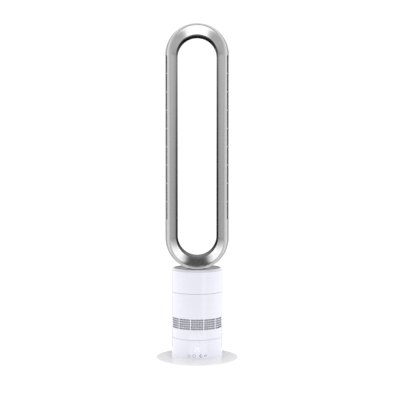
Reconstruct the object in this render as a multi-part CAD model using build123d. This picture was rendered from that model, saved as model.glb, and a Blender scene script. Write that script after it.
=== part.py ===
from build123d import *
import math
import os

# Bladeless tower fan. Millimetres, +Z up, origin on the floor under the middle of the base, front at -Y.
# The tower (everything above the lower seam) swivels on the base; the fan rotor spins inside the tower.

# ---- Overall sizes ----
PLATE_RADIUS = 118.5
BODY_RADIUS = 74.0
WALL = 2.6
BODY_INNER = BODY_RADIUS - WALL
FOOT_HEIGHT = 2.0
PLATE_TOP = 13.6
LOWER_SEAM = 65.5
UPPER_SEAM = 196.0
BODY_TOP = 258.2
SEAM_GAP = 0.6
CAP_TOP = 262.0

# ---- Intake grille in the lower casing ----
GRILLE_LOW = 94.5
GRILLE_HIGH = 125.5
GRILLE_COLUMNS = 12
GRILLE_ROWS = 5
SLAT_HEIGHT = 2.4
RIB_WIDTH = 3.8

# ---- Air loop: a stadium of constant section, sizes as radius from the opening's middle and depth y ----
LOWER_ARC_Z = 349.9
UPPER_ARC_Z = 873.9
RIM_RADIUS = 76.6
RIM_Y = -73.6
THROAT_FRONT_RADIUS = 60.3
THROAT_FRONT_Y = 18.5
THROAT_BACK_RADIUS = 57.1
THROAT_BACK_Y = 71.0
FLARE_POWER = 1.35
SHELL_WALL = 2.3
BAND_RADIUS = 84.6
BAND_FRONT_Y = -46.0
SHELF_INNER = 85.5
SHELF_OUTER = 88.6
SHELF_Y = -2.0
SHELF_THICKNESS = 2.3
LIP_Y = -3.4
LIP_INNER = 88.8
LIP_OUTER = 91.0
LOOP_OUTER = 92.5
BELLY_Y = 12.0
BACK_Y = 74.0
NOSE_RADIUS = 61.0
BACK_POWER = 2.2
LINER_THICKNESS = 1.5

# ---- Outlet slots, on both straight sides of the loop ----
SLOT_COUNT = 9
SLOT_START = 403.8
SLOT_PITCH = 52.44
SLOT_LENGTH = 49.84
SLOT_INNER = 85.8
SLOT_OUTER = 88.5

# ---- Neck between body and loop ----
NECK_X = 23.0
NECK_LOW_Y = 5.0
NECK_HIGH_Y = 35.0
NECK_Y = (NECK_LOW_Y + NECK_HIGH_Y) / 2
NECK_WALL = 2.0
NECK_TOP = 268.0
NECK_SCREW_X = 28.6
NECK_SCREW_Y = (9.0, 31.0)
NECK_SCREW_RADIUS = 1.8

# ---- Swivel drive ----
GEAR_MODULE = 1.0
SECTOR_TEETH = 60
PINION_TEETH = 15
GEAR_BACKLASH = 0.22
SECTOR_PITCH_RADIUS = GEAR_MODULE * SECTOR_TEETH / 2
PINION_PITCH_RADIUS = GEAR_MODULE * PINION_TEETH / 2
PINION_Y = SECTOR_PITCH_RADIUS + PINION_PITCH_RADIUS
SECTOR_HALF_ANGLE = 66.0
TURNTABLE_LOW = 50.0
TURNTABLE_HIGH = 53.0
GEAR_LOW = 53.7
DECK_LOW = 59.0
DECK_HIGH = 62.4
HUB_RADIUS = 15.0
HUB_BORE = 11.0
HUB_LOW = 45.4
RUNNING_CLEARANCE = 0.05

# ---- Fan motor and impeller, on the tower's axis ----
SHELF_LOW = 136.0
SHELF_HIGH = 139.0
SHAFT_RADIUS = 3.0
IMPELLER_LOW = 133.0
IMPELLER_HIGH = 179.0
BLADE_COUNT = 9
TIP_CLEARANCE = 1.0
BELL_RADIUS = 25.4
MAGNET_OUTER = 24.0
MAGNET_INNER = 22.2
STATOR_RADIUS = 21.4
STATOR_TEETH = 9
TUBE_RADIUS = 7.95
TUBE_BORE = 5.05
DUCT_INNER = 60.0
DUCT_OUTER = 62.2
VANE_COUNT = 11
ROTOR_LOW = 149.5
ROTOR_HIGH = 173.0
CORE_LOW = 155.5
CORE_HIGH = 169.5
COIL_RISE = 1.9
TOOTH_END = 18.5
TUBE_LOW = 154.0
MOTOR_FLANGE_LOW = 180.0
MOTOR_FLANGE_HIGH = 183.0
MOTOR_SCREW_CIRCLE = 14.0
DIFFUSER_LOW = 182.0
DIFFUSER_HIGH = 208.0
INNER_WALL_RADIUS = 45.0
BOARD_LOW = 191.0
BOARD_SCREW_CIRCLE = 28.0

# ---- Screw groups ----
BOSS_CIRCLE = 67.0
BOSS_RADIUS = 5.0
SCREW_RADIUS = 1.5
SCREW_HOLE = 1.6
HEAD_RADIUS = 2.9
HEAD_HEIGHT = 2.0


# ---- Helpers ----
def disc(radius, low, high):
    """A round plate or pin about Z."""
    return Pos(0, 0, (low + high) / 2) * Cylinder(radius, high - low)


def ring(outer, inner, low, high):
    """A round plate with a round hole."""
    return disc(outer, low, high) - disc(inner, low - 1, high + 1)


def block(x_low, x_high, y_low, y_high, z_low, z_high):
    """A box from its six faces."""
    centre = ((x_low + x_high) / 2, (y_low + y_high) / 2, (z_low + z_high) / 2)
    return Pos(*centre) * Box(x_high - x_low, y_high - y_low, z_high - z_low)


def turned(points):
    """A solid of revolution about Z from (radius, height) points."""
    outline = Polyline(*[(radius, 0, height) for radius, height in points], close=True)
    return revolve(make_face(outline), Axis.Z, 360)


def around(shape, count, first=0.0):
    """Copies of a shape spaced evenly about Z."""
    return [Rot(0, 0, first + 360 * step / count) * shape for step in range(count)]


def at_circle(shape, radius, count, first=0.0):
    """Copies of a shape on a circle about Z."""
    return around(Pos(radius, 0, 0) * shape, count, first)


def group(shapes):
    """Separate solids that share one node."""
    return Compound(children=list(shapes))


def screw(low, high, head_at_top=False, radius=SCREW_RADIUS):
    """A pan-head screw along Z whose shank and head fill low to high."""
    if head_at_top:
        return disc(radius, low, high - HEAD_HEIGHT) + disc(HEAD_RADIUS, high - HEAD_HEIGHT, high)
    return disc(HEAD_RADIUS, low, low + HEAD_HEIGHT) + disc(radius, low + HEAD_HEIGHT, high)


def save(name, shape):
    """Write one node."""
    export_step(shape, f"parts/{name}.step")


# ---- Base ----
COVER_RADIUS = 109.6
COVER_TOP = 3.6
BALLAST_RADIUS = 84.0
BALLAST_INNER = 34.0
BALLAST_TOP = 8.4
PLATE_SKIN_LOW = 8.8
COVER_SCREW_CIRCLE = 25.0
FOOT_CIRCLE = 98.0
FOOT_RADIUS = 8.0
FOOT_COUNT = 6
BOARD_POST_X = 30.0
BOARD_POST_LOW_Y = -16.0
BOARD_POST_HIGH_Y = 30.0
MAIN_BOARD_LOW = 24.0
BOARD_THICKNESS = 1.6


def main_board_corners():
    return [(x, y) for x in (-BOARD_POST_X, BOARD_POST_X) for y in (BOARD_POST_LOW_Y, BOARD_POST_HIGH_Y)]


def base_plate():
    """A thin-rimmed, gently coned plate with posts for the main board."""
    plate = turned([
        (0, PLATE_SKIN_LOW), (BALLAST_RADIUS + 0.6, PLATE_SKIN_LOW), (BALLAST_RADIUS + 0.6, 3.8),
        (110.0, 3.8), (110.0, 1.6), (117.2, 1.6), (118.3, 2.4), (PLATE_RADIUS, 3.6), (118.1, 4.7),
        (116.8, 5.5), (110.0, 6.7), (98.0, 8.8), (86.0, 11.0), (78.0, 12.7), (BODY_RADIUS, PLATE_TOP),
        (0, PLATE_TOP),
    ])
    plate += at_circle(disc(4.0, COVER_TOP + 0.2, 9.5), COVER_SCREW_CIRCLE, 4)
    plate += [Pos(x, y, 0) * disc(3.0, PLATE_TOP - 1, MAIN_BOARD_LOW) for x, y in main_board_corners()]
    plate -= at_circle(disc(1.6, 0, 11.6), COVER_SCREW_CIRCLE, 4)
    plate -= at_circle(disc(SCREW_HOLE, 0, 16), BOSS_CIRCLE, 4, 45)
    plate -= [Pos(x, y, 0) * disc(1.1, 15, 30) for x, y in main_board_corners()]
    return plate


def ballast_ring():
    ballast = ring(BALLAST_RADIUS, BALLAST_INNER, COVER_TOP, BALLAST_TOP)
    return ballast - at_circle(disc(6.0, 0, 10), BOSS_CIRCLE, 4, 45)


def base_cover():
    cover = disc(COVER_RADIUS, FOOT_HEIGHT, COVER_TOP)
    return cover - at_circle(disc(1.7, 0, 5), COVER_SCREW_CIRCLE, 4)


def rubber_feet():
    foot = disc(FOOT_RADIUS, 0.6, FOOT_HEIGHT) + disc(FOOT_RADIUS - 0.7, 0, 0.6)
    return group(at_circle(foot, FOOT_CIRCLE, FOOT_COUNT, 30))


def base_screws():
    fastener = disc(2.6, 0.7, FOOT_HEIGHT) + disc(1.5, FOOT_HEIGHT, 11.0)
    return group(at_circle(fastener, COVER_SCREW_CIRCLE, 4))


# ---- Control casing and electronics ----
CASING_TOP = LOWER_SEAM - SEAM_GAP / 2
TOUCH_X = (-23.2, -9.3, 10.7, 23.4)
TOUCH_Z = 22.2
DISPLAY_LOW = 31.8
DISPLAY_HIGH = 45.4
SOCKET_Z = 28.0
SOCKET_RADIUS = 6.0
SOCKET_BORE = 3.2
BOARD_FRONT_Y = -62.5


def control_casing():
    """The fixed lower drum, with four screw bosses and the hole for the power socket."""
    casing = ring(BODY_RADIUS, BODY_INNER, PLATE_TOP, CASING_TOP)
    bosses = at_circle(disc(BOSS_RADIUS, PLATE_TOP, TURNTABLE_LOW), BOSS_CIRCLE, 4, 45)
    casing += bosses
    casing -= at_circle(disc(SCREW_HOLE, 0, TURNTABLE_LOW + 1), BOSS_CIRCLE, 4, 45)
    casing -= Pos(0, BODY_RADIUS, SOCKET_Z) * Rot(90, 0, 0) * Cylinder(SOCKET_RADIUS + 0.2, 12)
    return casing


def casing_screws():
    fastener = screw(PLATE_SKIN_LOW - HEAD_HEIGHT, 28.0)
    return group(at_circle(fastener, BOSS_CIRCLE, 4, 45))


def touch_board():
    board = block(-27, 27, BOARD_FRONT_Y, BOARD_FRONT_Y + BOARD_THICKNESS, 14.4, 29)
    connector = block(-6, 6, BOARD_FRONT_Y + BOARD_THICKNESS, BOARD_FRONT_Y + 6, 16, 21)
    return board + connector


def touch_springs():
    springs = []
    for x in TOUCH_X:
        wall_y = -math.sqrt((BODY_INNER - 0.4) ** 2 - (abs(x) + 3.5) ** 2)
        length = BOARD_FRONT_Y - wall_y
        springs.append(Pos(x, wall_y + length / 2, TOUCH_Z) * Rot(90, 0, 0) * Cylinder(3.5, length))
    return group(springs)


def display_board():
    board = block(-16, 16, BOARD_FRONT_Y, BOARD_FRONT_Y + BOARD_THICKNESS, 30.2, 47)
    driver = block(-5, 5, BOARD_FRONT_Y + BOARD_THICKNESS, BOARD_FRONT_Y + 3.4, 34, 43)
    return board + driver


def display_module():
    return block(-11, 11, BOARD_FRONT_Y - 6.5, BOARD_FRONT_Y, DISPLAY_LOW, DISPLAY_HIGH)


def main_board():
    low, high = MAIN_BOARD_LOW, MAIN_BOARD_LOW + BOARD_THICKNESS
    board = block(-34, 34, BOARD_POST_LOW_Y - 4, BOARD_POST_HIGH_Y + 4, low, high)
    board -= [Pos(x, y, 0) * disc(1.2, low - 1, high + 1) for x, y in main_board_corners()]
    board += [Pos(x, -4, 0) * disc(4.0, high, high + 7) for x in (-14, 14)]
    board += block(-8, 8, 8, 20, high, high + 5)
    board += block(-31, -23, -6, 12, high, high + 5)
    return board


def board_screws():
    top = MAIN_BOARD_LOW + BOARD_THICKNESS + 1.4
    fastener = disc(1.0, 16, top - 1.4) + disc(2.0, top - 1.4, top)
    return group([Pos(x, y, 0) * fastener for x, y in main_board_corners()])


def power_socket():
    barrel = Pos(0, 66.5, SOCKET_Z) * Rot(90, 0, 0) * Cylinder(SOCKET_RADIUS, 13)
    housing = block(-7, 7, 56, 68, SOCKET_Z - 7, SOCKET_Z + 7)
    socket = barrel + housing
    socket -= Pos(0, 68.5, SOCKET_Z) * Rot(90, 0, 0) * Cylinder(SOCKET_BORE, 10)
    return socket + Pos(0, 67.5, SOCKET_Z) * Rot(90, 0, 0) * Cylinder(1.0, 10)


# ---- Swivel drive ----
MOTOR_RADIUS = 18.0
MOTOR_LOW = 35.0
MOTOR_EAR_X = 21.5


def involute(angle):
    return math.tan(angle) - angle


def gear_outline(teeth, tip_height, root_depth, first_angle, tooth_range):
    """Points of involute teeth, in order; first_angle is the middle of tooth 0, in degrees."""
    pitch_radius = GEAR_MODULE * teeth / 2
    pressure = math.radians(20)
    base_radius = pitch_radius * math.cos(pressure)
    tip_radius = pitch_radius + tip_height
    root_radius = pitch_radius - root_depth
    half_tooth = math.pi / (2 * teeth) - GEAR_BACKLASH / (2 * pitch_radius) + involute(pressure)
    start_radius = max(root_radius, base_radius)
    radii = [start_radius + (tip_radius - start_radius) * step / 4 for step in range(5)]
    flank = [(radius, half_tooth - involute(math.acos(min(1.0, base_radius / radius)))) for radius in radii]
    root_half = flank[0][1] + 0.02 * math.pi / teeth
    points = []
    for tooth in tooth_range:
        middle = math.radians(first_angle) + 2 * math.pi * tooth / teeth
        rising = [(root_radius, -root_half)] + [(radius, -half) for radius, half in flank]
        falling = [(radius, half) for radius, half in reversed(flank)] + [(root_radius, root_half)]
        for radius, turn in rising + falling:
            points.append((radius * math.cos(middle + turn), radius * math.sin(middle + turn)))
    return points


def swivel_pinion():
    outline = gear_outline(PINION_TEETH, 0.9, 1.3, 270 + 180 / PINION_TEETH, range(PINION_TEETH))
    gear = extrude(make_face(Polyline(*outline, close=True)), DECK_LOW - 0.8 - GEAR_LOW)
    gear = Pos(0, PINION_Y, GEAR_LOW) * gear
    gear += Pos(0, PINION_Y, 0) * ring(5.4, 2.52, GEAR_LOW - 0.4, GEAR_LOW)
    return gear - Pos(0, PINION_Y, 0) * disc(2.52, 40, 70)


def pinion_shaft():
    return Pos(0, PINION_Y, 0) * disc(2.5, 41.0, DECK_LOW - 0.9)


def swivel_sector():
    half_count = round(SECTOR_HALF_ANGLE / 360 * SECTOR_TEETH)
    teeth = gear_outline(SECTOR_TEETH, 0.8, 1.3, 90, range(-half_count, half_count + 1))
    inner = HUB_RADIUS + 1.0
    ends = math.radians(SECTOR_HALF_ANGLE + 6)
    inner_arc = []
    for step in range(13):
        angle = math.pi / 2 + ends * (1 - step / 6)
        inner_arc.append((inner * math.cos(angle), inner * math.sin(angle)))
    plate = extrude(make_face(Polyline(*(teeth + inner_arc), close=True)), DECK_LOW - GEAR_LOW)
    plate = Pos(0, 0, GEAR_LOW) * plate
    cut = Pos(22, 0, 0) * (disc(SCREW_HOLE, 50, 60) + disc(HEAD_RADIUS + 0.1, 50, GEAR_LOW + 2.2))
    return plate - [Rot(0, 0, angle) * cut for angle in (45, 90, 135)]


def sector_screws():
    fastener = Pos(22, 0, 0) * screw(GEAR_LOW + 0.2, DECK_HIGH - 0.6)
    return group([Rot(0, 0, angle) * fastener for angle in (45, 90, 135)])


def turntable_plate():
    plate = disc(BODY_INNER - 0.2, TURNTABLE_LOW, TURNTABLE_HIGH)
    plate -= disc(HUB_RADIUS + RUNNING_CLEARANCE, 40, 60)
    plate -= Pos(0, PINION_Y, 0) * disc(5.8, 40, 60)
    plate -= at_circle(disc(SCREW_HOLE, 40, 60), BOSS_CIRCLE, 4, 45)
    plate -= [Pos(x, PINION_Y, 0) * disc(SCREW_HOLE, 40, 60) for x in (-MOTOR_EAR_X, MOTOR_EAR_X)]
    return plate


def turntable_screws():
    fastener = screw(38.0, TURNTABLE_HIGH + HEAD_HEIGHT, head_at_top=True)
    return group(at_circle(fastener, BOSS_CIRCLE, 4, 45))


def slide_ring():
    return ring(62.0, 52.5, TURNTABLE_HIGH, DECK_LOW - 0.4)


def swivel_motor():
    can = disc(MOTOR_RADIUS, MOTOR_LOW, TURNTABLE_LOW)
    can += block(-25, 25, -3.5, 3.5, TURNTABLE_LOW - 1.5, TURNTABLE_LOW)
    can -= disc(2.5 + RUNNING_CLEARANCE, 40.5, 60)
    can -= [Pos(x, 0, 0) * disc(SCREW_HOLE, 40, 60) for x in (-MOTOR_EAR_X, MOTOR_EAR_X)]
    return Pos(0, PINION_Y, 0) * can


def swivel_motor_screws():
    fastener = screw(46.0, TURNTABLE_HIGH + HEAD_HEIGHT, head_at_top=True)
    return group([Pos(x, PINION_Y, 0) * fastener for x in (-MOTOR_EAR_X, MOTOR_EAR_X)])


def swivel_deck():
    """The tower's floor: its hub runs in the turntable, and a clip below keeps it there."""
    deck = disc(70.8, DECK_LOW, DECK_HIGH) + ring(70.8, 62.6, DECK_LOW, LOWER_SEAM + SEAM_GAP / 2)
    deck += disc(HUB_RADIUS, HUB_LOW, DECK_LOW + 1)
    deck -= ring(HUB_RADIUS + 1, 13.8, 47.2, 49.6)
    deck -= disc(HUB_BORE, 40, 70)
    deck -= at_circle(disc(SCREW_HOLE, 50, 70) + disc(3.1, 50, 61.4), BOSS_CIRCLE, 4)
    deck -= [Rot(0, 0, angle) * Pos(22, 0, 0) * disc(1.5, 58, DECK_HIGH - 0.5) for angle in (45, 90, 135)]
    return deck


def hub_clip():
    clip = ring(18.5, 13.85, 47.4, 49.4)
    return clip - block(-5, 5, -30, -5, 40, 60)


def deck_screws():
    return group(at_circle(screw(59.4, 76.0), BOSS_CIRCLE, 4))


# ---- Lower casing ----
INTAKE_LOW = LOWER_SEAM + SEAM_GAP / 2
INTAKE_HIGH = UPPER_SEAM - SEAM_GAP / 2


def grille_slots():
    """The slots between the slats: five rings, parted by the upright ribs."""
    row_pitch = (GRILLE_HIGH - GRILLE_LOW + SLAT_HEIGHT) / GRILLE_ROWS
    slots = []
    for row in range(GRILLE_ROWS):
        low = GRILLE_LOW + row * row_pitch
        slots.append(ring(BODY_RADIUS + 2, BODY_INNER - 3, low, low + row_pitch - SLAT_HEIGHT))
    half = RIB_WIDTH / 2
    rib = block(BODY_INNER - 6, BODY_RADIUS + 6, -half, half, GRILLE_LOW - 5, GRILLE_HIGH + 5)
    ribs = around(rib, GRILLE_COLUMNS, 15)
    return [slot - ribs for slot in slots]


def intake_casing():
    """The lower drum of the tower, with the intake grille and the shelf for the fan unit."""
    casing = ring(BODY_RADIUS, BODY_INNER, INTAKE_LOW, INTAKE_HIGH)
    casing += at_circle(disc(BOSS_RADIUS, INTAKE_LOW, 82), BOSS_CIRCLE, 4)
    casing += ring(BODY_INNER + 0.4, 63.0, SHELF_LOW, SHELF_HIGH)
    casing -= grille_slots()
    casing -= at_circle(disc(SCREW_HOLE, 60, 78), BOSS_CIRCLE, 4)
    return casing


def dust_screen():
    """A fine cage of upright bars just behind the grille."""
    screen = ring(70.9, 69.5, 87, 132)
    window = block(66, 74, -2.6, 2.6, 90.5, 128.5)
    return screen - around(window, 60)


# ---- Fan unit ----
SHROUD_INNER = [(53, 125), (47, 127.5), (43.5, 132), (43.5, 136), (47, 146), (52, 158), (57, 170), (60, 182)]


def offset_points(points, distance):
    """The same line moved sideways by distance, to the left of its direction."""
    moved = []
    for index, (x, y) in enumerate(points):
        before = points[max(index - 1, 0)]
        after = points[min(index + 1, len(points) - 1)]
        dx, dy = after[0] - before[0], after[1] - before[1]
        length = math.hypot(dx, dy)
        moved.append((x - distance * dy / length, y + distance * dx / length))
    return moved


def impeller_shroud():
    outer = offset_points(SHROUD_INNER, -(DUCT_OUTER - DUCT_INNER))
    outer[-1] = (DUCT_OUTER, SHROUD_INNER[-1][1])
    shroud = turned(SHROUD_INNER + outer[::-1])
    flange_low = SHELF_HIGH + 6
    return shroud + ring(70.4, 50.0, flange_low, flange_low + 3)


def vibration_mounts():
    mount = disc(3.4, SHELF_HIGH, SHELF_HIGH + 6) - disc(2.7, SHELF_HIGH + 2, SHELF_HIGH + 4)
    mount += disc(2.7, SHELF_HIGH + 1.5, SHELF_HIGH + 4.5)
    return group(at_circle(mount, 66.6, 4, 45))


def impeller():
    """A mixed-flow wheel: a trumpet hub and curved blades trimmed to the air passage."""
    hub = turned([
        (SHAFT_RADIUS + 0.02, IMPELLER_LOW), (9, IMPELLER_LOW), (15, 135.5), (24, 142), (34, 156), (42, 170),
        (45, IMPELLER_HIGH), (43, IMPELLER_HIGH), (40, 170.5), (32, 157), (26.4, ROTOR_LOW),
        (SHAFT_RADIUS + 0.02, ROTOR_LOW),
    ])
    passage = turned([
        (12, 137), (24, 141), (34, 155), (42, 169), (44, IMPELLER_HIGH - 1), (58, IMPELLER_HIGH - 1),
        (57 - TIP_CLEARANCE - 0.6, 170), (52 - TIP_CLEARANCE - 0.3, 158), (47 - TIP_CLEARANCE - 0.3, 146),
        (43.5 - TIP_CLEARANCE, 137),
    ])
    curve = ThreePointArc((8, 0), (34, 9), (62, 32))
    leaf = extrude(make_face(trace_band(curve, 1.6)), 60)
    blades = [(Pos(0, 0, 130) * leaf_at) & passage for leaf_at in around(leaf, BLADE_COUNT)]
    for blade in blades:
        hub += blade
    return hub


def trace_band(curve, width):
    """A closed outline of even width along an arc."""
    steps = 8
    points = [curve.position_at(step / steps) for step in range(steps + 1)]
    flat = [(point.X, point.Y) for point in points]
    left = offset_points(flat, width / 2)
    right = offset_points(flat, -width / 2)
    side_a = Spline(*left)
    side_b = Spline(*right[::-1])
    return [side_a, Line(left[-1], right[-1]), side_b, Line(right[0], left[0])]


def motor_shaft():
    return disc(SHAFT_RADIUS, 131, 179)


def rotor_bell():
    floor_top = ROTOR_LOW + 2.5
    bell = ring(BELL_RADIUS, SHAFT_RADIUS + 0.02, ROTOR_LOW, floor_top)
    bell += ring(BELL_RADIUS, MAGNET_OUTER, floor_top, ROTOR_HIGH)
    return bell - at_circle(disc(3.0, ROTOR_LOW - 5, floor_top + 5), 15, 5)


def rotor_magnet():
    return ring(MAGNET_OUTER, MAGNET_INNER, ROTOR_LOW + 3.5, ROTOR_HIGH - 1)


def stator_core():
    core = ring(11.0, TUBE_RADIUS, CORE_LOW, CORE_HIGH)
    tooth = block(10, TOOTH_END, -1.5, 1.5, CORE_LOW, CORE_HIGH)
    shoe = ring(STATOR_RADIUS, TOOTH_END, CORE_LOW, CORE_HIGH)
    shoe = shoe & block(15, 24, -6.4, 6.4, CORE_LOW - 5, CORE_HIGH + 5)
    core += around(tooth, STATOR_TEETH)
    core += around(shoe, STATOR_TEETH)
    return core


def stator_coils():
    coil = block(11.6, TOOTH_END - 0.3, -3.0, 3.0, CORE_LOW - COIL_RISE, CORE_HIGH + COIL_RISE)
    coil -= block(11, TOOTH_END + 0.5, -1.5, 1.5, CORE_LOW, CORE_HIGH)
    return group(around(coil, STATOR_TEETH))


def bearing_tube():
    tube = ring(TUBE_RADIUS, TUBE_BORE, TUBE_LOW, MOTOR_FLANGE_HIGH)
    tube += ring(18, TUBE_BORE, MOTOR_FLANGE_LOW, MOTOR_FLANGE_HIGH)
    return tube - motor_screw_holes()


def motor_screw_holes():
    return at_circle(disc(SCREW_HOLE, MOTOR_FLANGE_LOW - 5, MOTOR_FLANGE_HIGH + 5), MOTOR_SCREW_CIRCLE, 3, 60)


def motor_bearing(low):
    return ring(TUBE_BORE, SHAFT_RADIUS + RUNNING_CLEARANCE, low, low + 5)


def motor_screws():
    fastener = screw(MOTOR_FLANGE_LOW - HEAD_HEIGHT, MOTOR_FLANGE_HIGH + 3)
    return group(at_circle(fastener, MOTOR_SCREW_CIRCLE, 3, 60))


def diffuser():
    body = ring(DUCT_OUTER, DUCT_INNER, DIFFUSER_LOW, DIFFUSER_HIGH)
    body += ring(INNER_WALL_RADIUS, INNER_WALL_RADIUS - 2, DIFFUSER_LOW, DIFFUSER_HIGH)
    body += ring(INNER_WALL_RADIUS, TUBE_BORE + 1, MOTOR_FLANGE_HIGH, MOTOR_FLANGE_HIGH + 3)
    vane_arc = ThreePointArc((43.5, 0), (52.5, 3), (61.5, 10))
    vane = extrude(make_face(trace_band(vane_arc, 1.8)), DIFFUSER_HIGH - DIFFUSER_LOW - 4)
    vane = Pos(0, 0, DIFFUSER_LOW + 2) * vane
    body += around(vane, VANE_COUNT)
    body += at_circle(disc(2.4, MOTOR_FLANGE_HIGH + 2, BOARD_LOW), BOARD_SCREW_CIRCLE, 3)
    return body - motor_screw_holes()


def motor_board():
    """The motor's drive board: three round capacitors and three chips."""
    top = BOARD_LOW + BOARD_THICKNESS
    board = ring(34, 8, BOARD_LOW, top)
    board += at_circle(disc(4.0, top, top + 8.4), 20, 3, 30)
    board += at_circle(block(-4, 4, -3, 3, top, top + 2.4), 24, 3, 90)
    return board


def tail_cone():
    """A rounded cap that closes the motor pod and lets the air streams meet."""
    outer = [(INNER_WALL_RADIUS, DIFFUSER_HIGH), (40, 213), (31, 218.5), (21, 223), (11, 226), (0, 227)]
    inner = [(0, 225), (10.4, 224), (20, 221), (29.5, 216.8), (38.2, 211.6), (41.5, DIFFUSER_HIGH)]
    return turned(outer + inner)


# ---- Upper casing and neck ----
NECK_BASE = 247.0
LEDGE_LOW = 251.2
LEDGE_HIGH = 253.4
CAP_LOW = 253.6
CAP_RADIUS = 66.4
CAP_SCREW_CIRCLE = 64.9
SADDLE_FRONT = -9.0
SADDLE_BACK = 54.0


def joint_ring():
    """A sleeve inside both casings that bridges the upper seam."""
    return ring(BODY_INNER - 0.2, BODY_INNER - 2.8, UPPER_SEAM - 12, UPPER_SEAM + 11)


def upper_casing():
    return ring(BODY_RADIUS, BODY_INNER, UPPER_SEAM + SEAM_GAP / 2, BODY_TOP)


def neck_outline(inset, height):
    width = 2 * (NECK_X - inset)
    depth = NECK_HIGH_Y - NECK_LOW_Y - 2 * inset
    return Pos(0, NECK_Y, height) * RectangleRounded(width, depth, 6 - inset)


def neck_duct():
    """A funnel from the round diffuser to the rectangular neck that carries air up into the loop."""
    funnel = loft([Pos(0, 0, DIFFUSER_HIGH) * Circle(DUCT_OUTER), neck_outline(0, NECK_BASE)])
    hollow = loft([Pos(0, 0, DIFFUSER_HIGH) * Circle(DUCT_INNER), neck_outline(NECK_WALL, NECK_BASE)])
    duct = funnel + extrude(neck_outline(0, NECK_BASE), NECK_TOP - NECK_BASE)
    duct -= hollow
    duct -= extrude(neck_outline(NECK_WALL, NECK_BASE - 0.01), NECK_TOP - NECK_BASE + 1)
    return duct


def neck_hole(gap, low, high):
    return block(-NECK_X - gap, NECK_X + gap, NECK_LOW_Y - gap, NECK_HIGH_Y + gap, low, high)


def neck_seal():
    plate = block(-NECK_X - 1.9, NECK_X + 1.9, NECK_LOW_Y - 1.9, NECK_HIGH_Y + 1.9, CAP_LOW - 2, CAP_LOW)
    return plate - neck_hole(0.3, 240, 262)


def neck_screw_places():
    return [(x, y) for x in (-NECK_SCREW_X, NECK_SCREW_X) for y in NECK_SCREW_Y]


def collar_ring():
    return turned([
        (62.5, LEDGE_LOW), (71.2, LEDGE_LOW), (71.2, BODY_TOP + 0.3), (73.6, BODY_TOP + 0.3),
        (73.2, BODY_TOP + 1.4), (69.4, CAP_TOP + 0.8), (68.6, CAP_TOP + 1.2), (67.2, CAP_TOP + 1.2),
        (66.7, CAP_TOP + 0.7), (66.7, LEDGE_HIGH), (62.5, LEDGE_HIGH),
    ]) - at_circle(disc(1.4, LEDGE_LOW - 5, LEDGE_HIGH + 4), CAP_SCREW_CIRCLE, 4, 45)


def saddle():
    """The round trough that the loop's foot sits in."""
    middle = (SADDLE_FRONT + SADDLE_BACK) / 2
    trough = Cylinder(LOOP_OUTER + 0.6, SADDLE_BACK - SADDLE_FRONT)
    return Pos(0, middle, LOWER_ARC_Z) * Rot(90, 0, 0) * trough


def top_cap():
    """The dark top plate with the saddle that carries the loop, hollow where the loop isn't above it."""
    cap = disc(CAP_RADIUS, CAP_LOW, CAP_TOP)
    hollow = disc(CAP_RADIUS - 2.8, CAP_LOW - 4, CAP_TOP - 2.6) - block(-36, 36, -18, 60, 240, 270)
    cap -= hollow
    cap -= saddle()
    cap -= neck_hole(0.4, 240, 280)
    cap -= [Pos(x, y, 0) * disc(NECK_SCREW_RADIUS + 0.2, 240, 270) for x, y in neck_screw_places()]
    cap -= at_circle(disc(1.1, 240, CAP_TOP - 1.8), CAP_SCREW_CIRCLE, 4, 45)
    return cap


def cap_screws():
    fastener = disc(2.4, LEDGE_LOW - 1.8, LEDGE_LOW) + disc(1.0, LEDGE_LOW, CAP_TOP - 2.4)
    return group(at_circle(fastener, CAP_SCREW_CIRCLE, 4, 45))


# ---- Air loop ----
def carried_round(face):
    """Carry a section, drawn as (radius, depth) at z = 0, round the whole stadium."""
    side = Pos(0, 0, LOWER_ARC_Z) * extrude(face, UPPER_ARC_Z - LOWER_ARC_Z, dir=(0, 0, 1))
    top = revolve(Pos(0, 0, UPPER_ARC_Z) * face, Axis((0, 0, UPPER_ARC_Z), (0, -1, 0)), 180)
    bottom = revolve(Pos(0, 0, LOWER_ARC_Z) * face, Axis((0, 0, LOWER_ARC_Z), (0, 1, 0)), 180)
    return side + top + mirror(side, about=Plane.YZ) + bottom


def flare_radius(y):
    share = (THROAT_FRONT_Y - y) / (THROAT_FRONT_Y - RIM_Y)
    return THROAT_FRONT_RADIUS + (RIM_RADIUS - THROAT_FRONT_RADIUS) * share ** FLARE_POWER


def liner_radius(y):
    share = (THROAT_BACK_Y - y) / (THROAT_BACK_Y - THROAT_FRONT_Y)
    return THROAT_BACK_RADIUS + (THROAT_FRONT_RADIUS - THROAT_BACK_RADIUS) * share ** 1.2


def line_along(radius_at, y_from, y_to, steps, outward=0.0):
    """Points of a radius formula between two depths."""
    depths = [y_from + (y_to - y_from) * step / steps for step in range(steps + 1)]
    return [(radius_at(y) + outward, y) for y in depths]


WEDGE_Y = -58.0


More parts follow.
